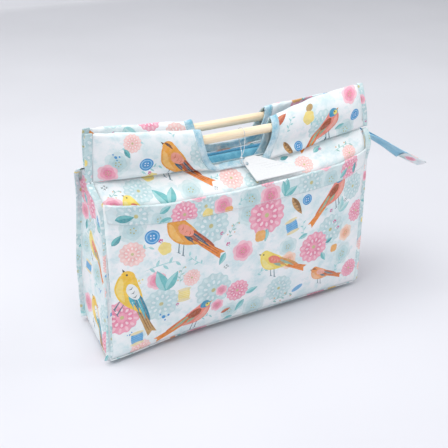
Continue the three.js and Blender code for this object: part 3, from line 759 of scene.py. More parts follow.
def rosette(colours=PINKS):
    outer, light, deep, _ = colours
    parts = [shape(ring(0.9, 30, 0.16, 6), light), shape(ring(0.66, 25, 0.15, 5, 0.4), outer)]
    parts.append(shape(ring(0.4, 20, 0.16, 5, 0.1), deep))
    for k in range(5):
        turn = 2 * math.pi * k / 5
        parts.append(shape(ring(0.06, 6, centre=(0.2 * math.cos(turn), 0.2 * math.sin(turn))), "b9b56e"))
    return parts


def leaf(colour=TEAL, vein=PALE_TEAL, width=0.24):
    t = np.linspace(0, 1, 9)
    half = width * np.sin(math.pi * t) ** 0.8 * (1.15 - 0.5 * t)
    blade = np.concatenate([np.stack([t, half], 1), np.stack([t, -half], 1)[-2:0:-1]])
    light = np.concatenate([np.stack([t, half * 0.94], 1)[1:-1], [(0.93, 0), (0.5, 0.02), (0.06, 0)]])
    return [shape(blade, colour), shape(light, vein)]


def turned(parts, angle, size=1.0, place=(0, 0), flip=False):
    c, s = math.cos(math.radians(angle)), math.sin(math.radians(angle))
    spin = np.array(((c, s), (-s, c)))
    side = (1, -1 if flip else 1)
    return [((outline * side * size) @ spin + place, colour) for outline, colour in parts]


def leaf_pair(colour=TEAL, vein=PALE_TEAL):
    return turned(leaf(colour, vein, 0.26), 62) + turned(leaf(colour, vein, 0.24), 8, 0.92)


def twig(colour=PALE_TEAL, berries=None):
    stem = [(0, -0.012), (0.35, 0.03), (0.7, 0.03), (1, -0.03), (0.7, 0.055), (0.35, 0.055)]
    parts = [shape(stem, colour)]
    for k in range(5):
        at = (0.18 + 0.17 * k, 0.04 - 0.01 * k)
        parts += turned(leaf(colour, colour, 0.2), 58 if k % 2 else -52, 0.2, at)
    if berries:
        for k in range(4):
            parts.append(shape(ring(0.035, 7, centre=(0.25 + 0.22 * k, 0.14 * (-1) ** k)), berries))
    return parts


def sprig():
    parts = [shape([(-0.03, -0.5), (0.03, -0.5), (0.05, 0.1), (0, 0.14)], TEAL)]
    heads = ((0, 0.34, 0.17), (-0.26, 0.16, 0.14), (0.27, 0.2, 0.15), (-0.14, -0.1, 0.1), (0.2, -0.08, 0.09))
    for x, y, r in heads:
        parts.append(shape(ring(r, 9, 0.15, 3, centre=(x, y)), MAGENTA))
    return parts


def button(colour=BLUE):
    parts = [shape(ring(1, 26), colour), shape(ring(0.8, 24), PALE_BLUE), shape(ring(0.68, 22), colour)]
    for x, y in ((0.2, 0.2), (-0.2, 0.2), (0.2, -0.2), (-0.2, -0.2)):
        parts.append(shape(ring(0.11, 7, centre=(x, y)), "e8f3fa"))
    return parts


def reel(thread="5aa7dc", line="86c0e8"):
    wood = "efe0b4"
    body = [(-0.4, -0.34), (-0.44, 0), (-0.4, 0.34), (0.4, 0.34), (0.44, 0), (0.4, -0.34)]
    parts = [shape(body, thread)]
    for y in (-0.22, -0.07, 0.08, 0.23):
        parts.append(shape([(-0.4, y - 0.05), (0.41, y), (0.41, y + 0.04), (-0.4, y)], line))
    for y in (-0.42, 0.42):
        parts.append(shape(ring(1, 14) * (0.5, 0.12) + (0, y), wood))
    return parts


def crosses():
    parts = []
    for x, y, a in ((0, 0, 20), (0.5, 0.3, 65), (-0.4, 0.35, 40), (0.15, 0.7, 5)):
        for quarter in (0, 90):
            bar = [(-0.26, -0.045), (0.26, -0.045), (0.26, 0.045), (-0.26, 0.045)]
            parts += turned([shape(bar, INK)], a + quarter, 1, (x, y))
    return parts


def dots(colour=BLUE):
    places = ((0, 0, 0.3), (0.75, 0.15, 0.2), (-0.5, 0.5, 0.16), (0.25, -0.6, 0.15))
    return [shape(ring(r, 9, centre=(x, y)), colour) for x, y, r in places]


def feather(colour="c99a5f", bars="8d6434"):
    parts = leaf(colour, bars, 0.17)
    for k in range(4):
        x = 0.2 + 0.17 * k
        parts.append(shape([(x, -0.12), (x + 0.1, 0), (x, 0.12), (x + 0.04, 0)], bars))
    return parts


# A bird lies along +X from its breast to the end of its tail, with its back towards +Y.
BIRD_BODY = [
    (0.03, 0.1), (0.1, 0.145), (0.2, 0.135), (0.34, 0.125), (0.5, 0.085), (0.62, 0.03), (0.52, -0.05),
    (0.4, -0.12), (0.27, -0.16), (0.14, -0.145), (0.05, -0.08), (-0.005, 0),
]
BIRD_BREAST = [(0.03, -0.02), (0.1, -0.01), (0.2, -0.06), (0.36, -0.1), (0.26, -0.14), (0.14, -0.125)]
BIRD_HEAD = [
    (-0.03, 0.045), (-0.022, 0.095), (0.02, 0.14), (0.08, 0.15), (0.135, 0.12), (0.15, 0.07), (0.1, 0.025),
    (0.03, 0), (-0.015, 0.01),
]
BIRD_CHEEK = [(-0.02, 0.05), (0.01, 0.08), (0.05, 0.075), (0.07, 0.035), (0.04, 0.01), (0, 0.015)]
BIRD_MASK = [(-0.03, 0.075), (0.01, 0.098), (0.07, 0.105), (0.125, 0.085), (0.08, 0.078), (0.01, 0.068)]
BIRD_BEAK = [(-0.015, 0.075), (-0.075, 0.048), (-0.02, 0.035)]
BIRD_SHOULDER = [
    (0.15, 0.03), (0.19, 0.085), (0.28, 0.105), (0.38, 0.085), (0.4, 0.03), (0.33, -0.02), (0.22, -0.03),
]
BIRD_TAIL = [
    (0.5, 0.065), (0.78, 0.06), (1.0, 0.085), (0.955, 0.035), (1.0, -0.035), (0.78, -0.03), (0.52, -0.03),
]
# Colours: body, breast, head, mask, cheek, shoulder, its bars, two of the wing, tail, its bars and beak.
BIRDS = {
    "amber": ("eda23a", "f5bd66", "f0a63c", "7c3d1c", None, "f29c86", "d06a48", "245a70", "b04a28", "ec8a34",
              "b8541f", "4a3028"),
    "golden": ("f5cb48", "f9dc7c", "f6c63e", None, None, "eef2f3", "3c5560", "46b2c4", "2887a3", "c39a62",
               "8a5f33", "4a4a4c"),
    "rose": ("f28c7c", "f7ac9c", "3a97be", None, "f6e06e", "a64e2c", "c4683c", "8fbfa2", "dd7748", "f19238",
             "d96f2c", "d8933c"),
    "lemon": ("f6dc66", "f9e891", "f7e071", None, None, "ec8272", "f7cfae", "93bcab", "d79a4c", "f08d3b",
              "d46a2d", "5a5346"),
    "small": ("f3a56c", "f7bf92", "f19a55", "8c4a28", None, "f4b5a6", "dd7f63", "5d8390", "c96539", "e8833c",
              "b95a2b", "57402f"),
}


def bird(kind):
    body, breast, head, mask, cheek, shoulder, bars, near, far, tail, tail_bars, beak = BIRDS[kind]
    parts = []
    for x in (0.28, 0.36):
        parts.append(shape([(x, -0.11), (x + 0.018, -0.12), (x + 0.12, -0.25), (x + 0.1, -0.255)], "5c7f8e"))
        parts.append(shape([(x + 0.07, -0.262), (x + 0.14, -0.24), (x + 0.135, -0.254)], "5c7f8e"))
    parts.append(shape(BIRD_TAIL, tail))
    for k in range(3):
        y = 0.052 - 0.028 * k
        parts.append(shape([(0.56, y), (0.9, y + 0.006), (0.93, y + 0.014), (0.58, y + 0.012)], tail_bars))
    parts.append(shape(rounded(BIRD_BODY, 3, True), body))
    parts.append(shape(rounded(BIRD_BREAST, 2, True), breast))
    for k, reach in enumerate((0.8, 0.74, 0.66, 0.57)):
        y = 0.08 - 0.034 * k
        blade = [(0.3, y - 0.01), (0.42, y + 0.026), (reach - 0.1, y + 0.014 - 0.01 * k),
                 (reach, y - 0.012 - 0.008 * k), (reach - 0.12, y - 0.022), (0.4, y - 0.03)]
        parts.append(shape(rounded(blade, 2, True), near if k % 2 else far))
        quill = [(0.4, y - 0.006), (reach - 0.06, y - 0.012), (0.4, y)]
        parts.append(shape(quill, shoulder if k % 2 else tail))
    parts.append(shape(rounded(BIRD_SHOULDER, 3, True), shoulder))
    for k in range(3):
        x = 0.2 + 0.065 * k
        parts.append(shape([(x, 0.07), (x + 0.035, 0.035), (x + 0.02, 0), (x + 0.022, 0.036)], bars))
    parts.append(shape(BIRD_BEAK, beak))
    parts.append(shape(rounded(BIRD_HEAD, 3, True), head))
    if cheek:
        parts.append(shape(rounded(BIRD_CHEEK, 2, True), cheek))
    if mask:
        parts.append(shape(rounded(BIRD_MASK, 2, True), mask))
    parts.append(shape(ring(0.014, 8, centre=(0.025, 0.08 if mask else 0.065)), "1f2a30"))
    return parts


MOTIFS = {
    "dahlia": dahlia, "blush": lambda: dahlia(BLUSH), "ghost": lambda: dahlia(GHOST), "rose": rosette,
    "haze": lambda: rosette(GHOST), "peach": lambda: rosette(("f8c9b0", "fbdccb", "f3b295", "fff")),
    "leaf": leaf, "deepleaf": lambda: leaf(DEEP_TEAL, TEAL), "rust": lambda: leaf("bb5a38", "d98562", 0.2),
    "leaves": leaf_pair, "pale": lambda: leaf_pair(PALE_TEAL, "c8e6e6"), "twig": twig,
    "berry": lambda: twig("9fcdc9", "e9b06c"), "sprig": sprig, "button": button, "reel": reel,
    "yreel": lambda: reel(YELLOW, "f9ecb4"), "cross": crosses, "dots": dots, "feather": feather,
    "wash": lambda: [shape(ring(1, 36, 0.22, 7) * (1, 0.7), "dcecef")],
    "ydots": lambda: dots(YELLOW), "oval": lambda: [shape(ring(1, 14) * (1, 0.45), "79b8e6")],
    "nut": lambda: [shape(ring(1, 14) * (1, 0.8), "b99a66")],
    "sun": lambda: [shape(ring(1, 16, 0.2, 5), YELLOW)],
    "orange": lambda: [shape(ring(1, 16, 0.2, 4), "f3b468")],
}


def lay_out(layout):
    """The shapes of a layout of (motif, x, y, size, angle) rows. A bird whose name ends in ! is turned over."""
    shapes = []
    for kind, x, y, size, angle in layout:
        name = kind.rstrip("!")
        parts = bird(name[:-5]) if name.endswith("_bird") else MOTIFS[name]()
        shapes += turned(parts, angle, size, (x, y), kind.endswith("!"))
    return shapes


# The smaller motifs and their sizes, for pieces that show too little of the print to have a layout.
SCATTER = (
    ("ghost", 18, 26), ("haze", 12, 18), ("blush", 10, 14), ("pale", 14, 20), ("ghost", 18, 24),
    ("twig", 20, 28), ("ghost", 14, 20), ("rose", 7, 9), ("haze", 16, 22), ("leaf", 12, 16),
    ("ghost", 20, 26), ("sprig", 5, 7), ("haze", 14, 18), ("oval", 4, 6), ("ghost", 16, 22), ("sun", 4, 5),
    ("ghost", 18, 22), ("berry", 20, 26),
)


# Washed flowers lie lowest, then twigs, the other motifs and the birds.
PRINT_ORDER = {"ghost": 0, "haze": 0, "twig": 1, "berry": 1}


def in_order(layout):
    return sorted(layout, key=lambda item: 3 if "_bird" in item[0] else PRINT_ORDER.get(item[0], 2))


def scattered(seed, width, height, spacing):
    """A layout of small motifs over a piece that has none of its own."""
    dice = random.Random(seed)
    layout = []
    row = 0
    y = dice.uniform(-6, 6)
    while y < height + 12:
        x = dice.uniform(-14, 0) + (row % 2) * spacing / 2
        while x < width + 12:
            kind, small, large = SCATTER[(dice.randrange(5) + 5 * row + 7 * len(layout)) % len(SCATTER)]
            angle = dice.uniform(0, 360)
            place = (x + dice.uniform(-5, 5), y + dice.uniform(-5, 5))
            layout.append((kind, *place, dice.uniform(small, large), angle))
            x += spacing
        y += spacing * 0.92
        row += 1
    return in_order(layout)


PRINT_REPEAT = (398.0, 204.0)
REPEAT_STEP = 130
MOTIF_REACH = 60


def all_over(width, height, start=(0.0, 0.0)):
    """The cloth's repeat over a piece cut from it with its lower left corner at start."""
    across, up = PRINT_REPEAT
    layout = []
    for row in range(-1, int(height / up) + 2):
        for column in range(-1, int(width / across) + 2):
            x = column * across + across / 2 - start[0] + (row % 2) * REPEAT_STEP
            layout += [item for item in shifted(POCKET_LAYOUT, x, row * up - start[1])
                       if -MOTIF_REACH < item[1] < width + MOTIF_REACH
                       and -MOTIF_REACH < item[2] < height + MOTIF_REACH]
    return in_order(layout)


# x is from the middle of the piece and y from its lower edge.
POCKET_LAYOUT = (
    ("ghost", -65, 167, 27, 10), ("ghost", -58, 66, 28, 0), ("ghost", -135, 66, 25, 30),
    ("ghost", 135, 112, 25, 50), ("ghost", 52, 36, 22, 0), ("haze", -8, 172, 17, 0),
    ("haze", 165, 62, 18, 20), ("haze", -170, 178, 18, 0), ("haze", 12, 15, 18, 0),
    ("ghost", 175, 168, 20, 0), ("haze", -28, 20, 14, 0), ("haze", 60, 105, 15, 0),
    ("twig", -182, 138, 40, 25), ("twig", -160, 120, 52, 8), ("twig", -72, 110, 36, 140),
    ("berry", -40, 140, 30, 60), ("twig", 6, 70, 36, 20), ("twig", 120, 140, 34, 70),
    ("berry", 40, 10, 40, 15), ("twig", -90, 20, 34, 5), ("twig", 150, 30, 36, 60),
    ("twig", -190, 90, 30, 70), ("twig", 88, 110, 30, 100), ("berry", -110, 90, 28, 80),
    ("blush", -172, 146, 17, 0), ("blush", -92, 96, 13, 40), ("peach", 62, 82, 14, 0),
    ("peach", 168, 96, 13, 0), ("dahlia", 21, 163, 29, 0), ("dahlia", 106, 92, 25, 20),
    ("rose", -15, 118, 16, 10), ("dahlia", -19, 54, 18, 0), ("rose", -142, 104, 13, 0),
    ("dahlia", -187, 58, 24, 0), ("dahlia", 188, 125, 17, 0), ("rose", -50, 38, 10, 0),
    ("rose", -45, 62, 9, 0), ("dahlia", 184, 30, 15, 0), ("blush", -160, 4, 14, 0),
    ("leaves", -130, 86, 34, 48), ("leaf", -4, 44, 20, 20), ("leaf", -6, 34, 22, 235),
    ("leaf", 22, 143, 20, 265), ("leaf", 122, 78, 18, 300), ("deepleaf", 128, 92, 14, 20),
    ("leaf", -42, 122, 20, 245), ("pale", 150, 136, 24, 20), ("deepleaf", -196, 160, 18, 50),
    ("leaf", -22, 8, 16, 190), ("rust", -42, 20, 16, 20), ("leaf", 92, 118, 16, 200),
    ("orange", 12, 134, 8, 0), ("sun", -130, 148, 8, 0), ("ydots", -165, 108, 6, 0),
    ("orange", 146, 78, 6, 0), ("sprig", -135, 158, 8, 20), ("sprig", -38, 133, 8, 30),
    ("sprig", 142, 122, 8, 0), ("sprig", 134, 142, 7, 40), ("sprig", -48, 152, 7, 60),
    ("sprig", -96, 34, 8, 0), ("sprig", 150, 110, 7, 0), ("sprig", -112, 58, 6, 10),
    ("cross", -40, 97, 6, 0), ("cross", 160, 150, 5, 0), ("dots", -131, 44, 9, 0),
    ("dots", -176, 30, 5, 40), ("oval", 86, 26, 10, 25), ("nut", -155, 52, 3, 0),
    ("button", -146, 166, 10, 0), ("button", 88, 171, 8, 0), ("reel", -166, 22, 19, 5),
    ("yreel", -103, 72, 20, 0), ("reel", 64, 136, 22, 15), ("feather", 62, 180, 34, -58),
    ("amber_bird", -125, 184, 102, -41), ("golden_bird", -187, 118, 104, -68),
    ("rose_bird!", -62, 42, 86, 205), ("lemon_bird", 15, 98, 88, -27), ("small_bird", 108, 48, 66, -24),
    ("rose_bird!", 154, 188, 84, 227),
)
# y is from the hem's lower edge, up its front and on down its back.
HEM_LAYOUT = (
    ("wash", -165, 12, 34, 0), ("wash", -80, 12, 30, 20), ("wash", 0, 10, 26, 50), ("wash", 95, 12, 40, 10),
    ("wash", 150, 12, 30, 70), ("wash", -125, 16, 26, 30), ("ghost", -170, 12, 24, 0),
    ("ghost", -75, 14, 22, 0), ("haze", -5, 10, 20, 0), ("ghost", 95, 12, 24, 0), ("haze", 130, 8, 18, 0),
    ("haze", -140, 5, 16, 0), ("dahlia", -106, 8, 19, 0), ("rose", -49, 10, 14, 0), ("rose", 26, 8, 17, 0),
    ("dahlia", 166, 14, 18, 0), ("deepleaf", -196, 6, 24, 12), ("leaf", -124, 6, 20, 200),
    ("leaf", -140, 14, 18, 30), ("leaves", 50, 2, 26, 20), ("leaf", 50, 4, 22, 100),
    ("orange", -40, 1, 6, 0), ("sun", -72, 3, 7, 0), ("leaf", 148, 4, 18, 40), ("deepleaf", 176, 2, 16, 80),
    ("twig", -30, 4, 30, 30), ("rose", -85, 34, 12, 0), ("dahlia", 20, 36, 14, 0),
    ("leaves", -150, 36, 20, 0), ("rose", 120, 35, 12, 0),
)
# y is from the line where the sleeve stands on the shoulder: up the sleeve, or below 0 down the shoulder.
UPPER_LAYOUT = (
    ("ghost", -60, 30, 20, 0), ("ghost", 130, 30, 22, 0), ("haze", -175, 25, 16, 0),
    ("ghost", -150, -20, 18, 0), ("haze", 40, -20, 16, 0), ("haze", 170, 10, 16, 0),
    ("ghost", 10, -38, 18, 0), ("haze", -85, -30, 16, 0), ("twig", -175, 42, 34, 20),
    ("twig", -150, 8, 34, 15), ("twig", 70, 36, 28, 60), ("twig", -60, -22, 28, 10),
    ("berry", 140, -22, 34, 10), ("twig", -100, 48, 26, 100), ("twig", 105, 44, 30, -20),
    ("berry", -190, -30, 24, 40), ("rose", -186, 11, 12, 0), ("blush", -156, 50, 12, 0),
    ("blush", -23, -24, 17, 0), ("blush", 90, -28, 14, 0), ("rose", 183, 58, 14, 0),
    ("rose", -186, -36, 12, 0), ("blush", 165, -30, 12, 0), ("rose", -20, 60, 13, 0),
    ("leaves", -118, -46, 30, 60), ("deepleaf", -167, 44, 14, -60), ("leaf", 168, 20, 16, 200),
    ("deepleaf", 60, -12, 14, 10), ("leaf", 112, -14, 16, 30), ("rust", 50, 52, 28, 28),
    ("nut", 112, 62, 6, 20), ("sun", 108, 50, 8, 0), ("sun", -131, 0, 7, 0), ("sprig", -134, 7, 6, 20),
    ("sprig", -70, -8, 6, 0), ("sprig", 124, -12, 6, 30), ("cross", -187, -12, 6, 0),
    ("cross", -50, -36, 5, 30), ("dots", -178, 34, 6, 0), ("button", -138, 20, 9, 0),
    ("button", 92, 14, 7, 0), ("feather", 68, 26, 28, -58), ("button", 186, 26, 8, 0),
    ("amber_bird", -118, 40, 96, -46), ("rose_bird!", 156, 40, 80, 218), ("lemon_bird", -172, -28, 66, -60),
)
# x is from the front edge towards the back and y from the base.
GUSSET_LAYOUT = (
    ("ghost", 30, 40, 20, 0), ("ghost", 80, 160, 20, 0), ("haze", 60, 90, 18, 0), ("twig", 20, 60, 34, 80),
    ("twig", 70, 60, 34, 100), ("twig", 90, 120, 30, 90), ("dahlia", 70, 190, 22, 0),
    ("dahlia", 12, 190, 16, 0), ("rose", 92, 30, 14, 0), ("dahlia", 20, 12, 16, 0),
    ("leaves", 40, 160, 24, 30), ("leaf", 20, 90, 18, 60), ("button", 38, 178, 8, 0),
    ("reel", 88, 88, 17, 10), ("sprig", 30, 150, 7, 0), ("sprig", 60, 40, 7, 0),
    ("deepleaf", 96, 140, 16, 100), ("ydots", 60, 215, 6, 0), ("dots", 50, 70, 6, 0),
    ("dahlia", 94, 198, 22, 0), ("rose", 98, 166, 12, 0), ("haze", 96, 118, 16, 0),
    ("leaf", 92, 178, 16, 60), ("lemon_bird!", 84, 140, 70, 230), ("golden_bird!", 78, 44, 74, 225),
    ("small_bird", 10, 130, 44, -70),
)


# ---- How the soft bag has settled ----
CORNER_FLARE = np.array((-12.0, -13.0, 0.0))
FIN_PULL = np.array((8.0, 0.0, 0.0))
GUSSET_BULGE = 6.0
LEFT_END = 120
FLOOR_REACH = 62
SPLAY_FROM = 60
SEAM_LIFT = 5.0
SEAM_SAG = 7.5
SPREAD = 9.0


def settle(points):
    """Moves places on the bag's body. Its front left corner splays out at the floor, its left end bulges there,
    and its back left edge is pulled in towards the top. The slack shoulders spread wider than the base, hang
    in the middle and are held up at their ends by the sleeves."""
    points = np.array(points, float)
    x, y, z = points[..., 0], points[..., 1], points[..., 2]
    low = np.exp(-np.clip(z, 0, None) / FLOOR_REACH)
    splay = ease((-x - SPLAY_FROM) / (HALF - SPLAY_FROM)) ** 1.5 * ease((10 - y) / 65) * low
    left = ease((-x - LEFT_END) / (HALF - LEFT_END))
    pull = left * ease(y / 45) * ease((z - 70) / 130) * (1 - 0.35 * ease((z - 205) / 30))
    moved = points + splay[..., None] * CORNER_FLARE + pull[..., None] * FIN_PULL
    moved[..., 0] -= GUSSET_BULGE * left * np.clip(np.cos(math.pi * y / DEPTH), 0, 1) * low
    moved[..., 2] += seam_lift(x) * ease((z - 190) / 45)
    moved[..., 0] += spread(x, y) * ease((z - 196) / 38)
    return moved


def seam_lift(x):
    share = np.abs(np.clip(x / HALF, -1, 1))
    return SEAM_LIFT * np.where(x > 0, 1.0, 0.5) * share ** 2.5 - SEAM_SAG * (1 - share ** 2)


def spread(x, y):
    """How far the front half of the top is spread beyond the CAD's width."""
    share = np.clip(x / HALF, -1.1, 1.1)
    return SPREAD * share * np.abs(share) ** 2 * ease((5 - y) / 32)


# ---- Panels ----
WALL_BASE_Z = CLOTH + GAP
UNDER = 3.0
COLUMNS = 80
CROWN = 3.0


def wall_line(side, share, depth=0.0):
    """A wall's profile at one share of the width, from its foot up, depth inside its outer face."""
    full = fullness(share)
    crest = SHOULDER_Z - SHOULDER_DROP * full
    seam_y = SEAM_Y[side]
    zs = np.linspace(WALL_BASE_Z, crest - 5, 40)
    out = DEPTH / 2 + FULLNESS[side] * full * rise(zs) - UNDER * np.exp(-(zs - WALL_BASE_Z) / 2.5)
    line = [(side * (y - depth), z) for y, z in zip(out, zs)]
    edge = (side * (DEPTH / 2 + FULLNESS[side] * full), crest)
    for t in np.linspace(0.06, 1, 14):
        crown = CROWN * math.sin(math.pi * t) * (1 - t)
        inside = depth * ease(t * 3)
        y = mix(edge[0], seam_y, t) - side * (depth - 0.5 * inside)
        line.append((y, mix(edge[1], SEAM_Z, t) + crown - inside))
    line.append((seam_y - side * STRIP_WIDTH, SEAM_Z - depth))
    made = rounded(line, 3)
    return [(share * HALF, y, z) for y, z in made]


def wall_cloth(side, depth=0.0, inset=0.0):
    shares = np.linspace(-1, 1, COLUMNS + 1)
    lines = [settle(np.array(wall_line(side, s, depth)) * ((HALF - inset) / HALF, 1, 1)) for s in shares]
    ripple = lambda grid: 1.6 * cloud(grid, (75, 60, 62), side + depth) + 0.5 * cloud(grid, 24, side)
    return Cloth(lines, 90, (0, side, 0), lambda grid: ripple(grid) * gathered(grid))


def gathered(grid):
    """How free the cloth is to ripple: nothing at the side seams, all of it inside."""
    return ease((HALF - np.abs(grid[..., 0])) / 40) * ease((grid[..., 2] + 4) / 40)


def pocket_top(full):
    return SHOULDER_Z - 1 - POCKET_TOP_DROP * full


def pocket_line(share, depth=0.0):
    full = fullness(share)
    top = pocket_top(full)
    zs = np.linspace(WALL_BASE_Z, top, 50)
    wall = DEPTH / 2 + FULLNESS[-1] * full * rise(zs)
    level = (zs - WALL_BASE_Z) / (top - WALL_BASE_Z)
    gape = GAP + CLOTH + POCKET_GAP * math.sqrt(full) * np.sqrt(level)
    under = UNDER * np.exp(-(zs - WALL_BASE_Z) / 2.5)
    return [(share * HALF, -(w + g - u - depth), z) for w, g, u, z in zip(wall, gape, under, zs)]


def pocket_relief(grid):
    broad = 2.2 * cloud(grid, (80, 70, 62), 5) + 0.6 * cloud(grid, (28, 30, 22), 6)
    return broad * ease((HALF - np.abs(grid[..., 0])) / 36) * ease((grid[..., 2] + 2) / 30)


def pocket_cloth():
    shares = np.linspace(-1, 1, COLUMNS + 1)
    return Cloth([settle(pocket_line(s)) for s in shares], 70, (0, -1, 0), pocket_relief)


HEM_LIFT = 1.0


def hem_cloth(pocket):
    """The folded strip that binds the pocket's mouth, up its front, over its edge and down its back."""
    columns = []
    for x in np.linspace(0, pocket.width, 140):
        length = pocket.length(x)
        front = [(x, y) for y in np.linspace(length - HEM_WIDTH, length + 0.3, 12)]
        places, normals = pocket.at(front)
        outer = places + normals * HEM_LIFT
        inner = (places - normals * (CLOTH + 0.5))[::-1]
        crest = places[-1] - normals[-1] * (CLOTH * 0.4) + (0, 0, 0.9)
        columns.append(rounded(np.concatenate([outer, [crest], inner[:-3]]), 3))
    return Cloth(columns, 40, (0, -1, 0), lambda grid: 0.16 * cloud(grid, (7, 30, 9), 2))


GUSSET_TOP_Z = ZIP_Z - 1.5
GUSSET_DENT = 5
CREASE_DEPTH = 2.2
CREASE_HALF = 0.06
GUSSET_LIP = 2.5
GUSSET_TUCK = 0.3
GUSSET_FLAP = 16
GUSSET_FLAP_RISE = 0.9


def gusset_cloth(end, depth=0.0):
    """The end panel: end is -1 on the left. Its columns run from the front edge to the back."""
    inset = CLOTH + GAP + depth
    lip = 0 if depth else GUSSET_LIP
    places = [(across, 0) for across in np.linspace(0, 1, 30)]
    if lip:
        places = [(0, lip), (0, lip / 3)] + places + [(1, lip / 3), (1, lip)]
    in_from_edge = np.linspace(0, 1, 40)
    crown = CROWN * np.sin(math.pi * in_from_edge) * (1 - in_from_edge)
    shoulder = mix(SHOULDER_Z, SEAM_Z, in_from_edge) + crown
    columns = []
    for across, out in places:
        line = []
        for z in np.linspace(WALL_BASE_Z + depth, GUSSET_TOP_Z - depth, 50):
            narrowing = np.interp(z, shoulder, in_from_edge)
            front = mix(-DEPTH / 2, FRONT_SEAM_Y, narrowing) + inset - out * GUSSET_TUCK
            back = mix(DEPTH / 2, BACK_SEAM_Y, narrowing) - inset + out * GUSSET_TUCK
            hollow = math.sin(math.pi * across) * math.sin(math.pi * z / GUSSET_TOP_Z)
            crease = CREASE_DEPTH * math.exp(-((across - 0.5) / CREASE_HALF) ** 2) * ease((z - 60) / 120)
            x = end * (HALF + out - depth - GUSSET_DENT * hollow - crease)
            line.append((x, mix(front, back, across), z))
        if not depth:
            x, y, z = line[-1]
            line += [(x - end * turn, y, z + GUSSET_FLAP_RISE) for turn in np.linspace(2, GUSSET_FLAP, 4)]
        columns.append(settle(line))
    relief = lambda grid: 0.8 * cloud(grid, (40, 26, 40), end + 3) * inside(grid)
    return Cloth(columns, 60, (end, 0, 0), relief)


def inside(grid):
    """0 at a grid's side edges and 1 within."""
    share = np.linspace(0, 1, grid.shape[0])[:, None]
    return ease(np.minimum(share, 1 - share) / 0.2)


def base_cloth(depth=0.0, inset=0.0):
    columns = []
    for x in np.linspace(-HALF + inset, HALF - inset, 60):
        line = [(x, y, depth) for y in np.linspace(-DEPTH / 2 + inset, DEPTH / 2 - inset, 24)]
        columns.append(settle(line))
    return Cloth(columns, 24, (0, 0, -1))


# ---- Sleeves ----
def sleeve_top(sleeve, x):
    edge, reach = (NOTCH_LEFT_X, -HALF) if x < 0 else (NOTCH_RIGHT_X, HALF)
    t = min(1.0, max(0.0, (x - edge) / (reach - edge)))
    if x < 0:
        return mix(sleeve["notch"], sleeve["left"], t)
    return mix(sleeve["notch"], sleeve["right"], math.sin(math.pi / 2 * t))


def sleeve_middle(sleeve, x, t):
    lean = sleeve["lean_left"] if x < 0 else sleeve["lean_right"]
    return SEAM_Y[sleeve["side"]] + lean * (abs(x) / HALF) * t ** 4


def sleeve_half(x, t):
    open_share = min(1.0, (HALF - abs(x)) / SLEEVE_TAPER)
    swell = math.sin(math.pi / 2 * max(0.0, open_share)) ** 0.8 * (SLEEVE_HALF_THICKNESS - SLEEVE_EDGE * 0.4)
    bend = np.maximum(0, np.sin(math.pi * t ** 1.05)) ** np.where(t < 0.5, 1.6, 0.62)
    return SLEEVE_EDGE * (1 - t ** 6) + swell * bend


SLACK_OUT = 4.5
SLACK_DOWN = 2.5
FOLD_SLACK = 5.5
FOLD_SLACK_X = 88
NOTCH_SAG_OUT = 5.0
NOTCH_SAG_DOWN = 7.0
INNER_SAG_OUT = 8.0
INNER_SAG_DOWN = 8.0
TOP_SPREAD = {-1: 0.8, 1: 0.35}


def sleeve_line(sleeve, x):
    """The sleeve's section at x: up its outer face from the seam, over its fold and down its inner face."""
    side = sleeve["side"]
    near_fold = 0.9 + 0.1 * np.sin(np.linspace(0.08, 1, 14) * math.pi / 2)
    rising = np.concatenate([np.linspace(0, 0.9, 46), near_fold])
    top = sleeve_top(sleeve, x)
    z = mix(SLEEVE_BASE_Z, top, rising)
    half = sleeve_half(x, rising)
    middle = sleeve_middle(sleeve, x, rising)
    free = ease((HALF - abs(x)) / 34)
    slack = free * np.exp(-((rising - 0.09) / 0.075) ** 2)
    fold = FOLD_SLACK * math.exp(-((x - FOLD_SLACK_X) / 34) ** 2) * (1 if side < 0 else 0)
    hollow = ease((88 - abs(x + 2)) / 60) if side < 0 else 0.0
    low = ease(1 - rising / 0.42) * ease(rising / 0.03)
    out = (SLACK_OUT + 0.6 * fold) * slack + NOTCH_SAG_OUT * hollow * low
    down = (SLACK_DOWN + fold) * slack + NOTCH_SAG_DOWN * hollow * low
    outer = np.stack([np.full_like(z, x), middle + side * (half + out), z - down], 1)
    inner_y = middle - side * (half + INNER_SAG_OUT * hollow * low)
    inner = np.stack([np.full_like(z, x), inner_y, z - INNER_SAG_DOWN * hollow * low], 1)
    made = np.concatenate([outer, inner[-2::-1]])
    height = ease((made[:, 2] - SEAM_Z) / 55)
    made[:, 2] += seam_lift(x) * (1 - height)
    made[:, 0] += sleeve["end_pull"] * ease((-x - 90) / 110)
    made[:, 0] += spread(x, 2.0 * SEAM_Y[side]) * mix(1.0, TOP_SPREAD[1 if x > 0 else -1], height)
    return made


def sleeve_cloth(sleeve):
    side = sleeve["side"]

    def relief(grid):
        rows = np.linspace(0, 1, grid.shape[1])[None, :]
        free = ease((HALF - np.abs(grid[..., 0])) / 30) * ease(rows / 0.06) * ease((1 - rows) / 0.06)
        drape = 1.5 * cloud(grid, (30, 60, 40), 7 + side) + 0.5 * cloud(grid, (14, 30, 16), 8 + side)
        return drape * free

    xs = np.linspace(-HALF, HALF, 160)
    return Cloth([sleeve_line(sleeve, x) for x in xs], 120, (0, side, 0), relief)


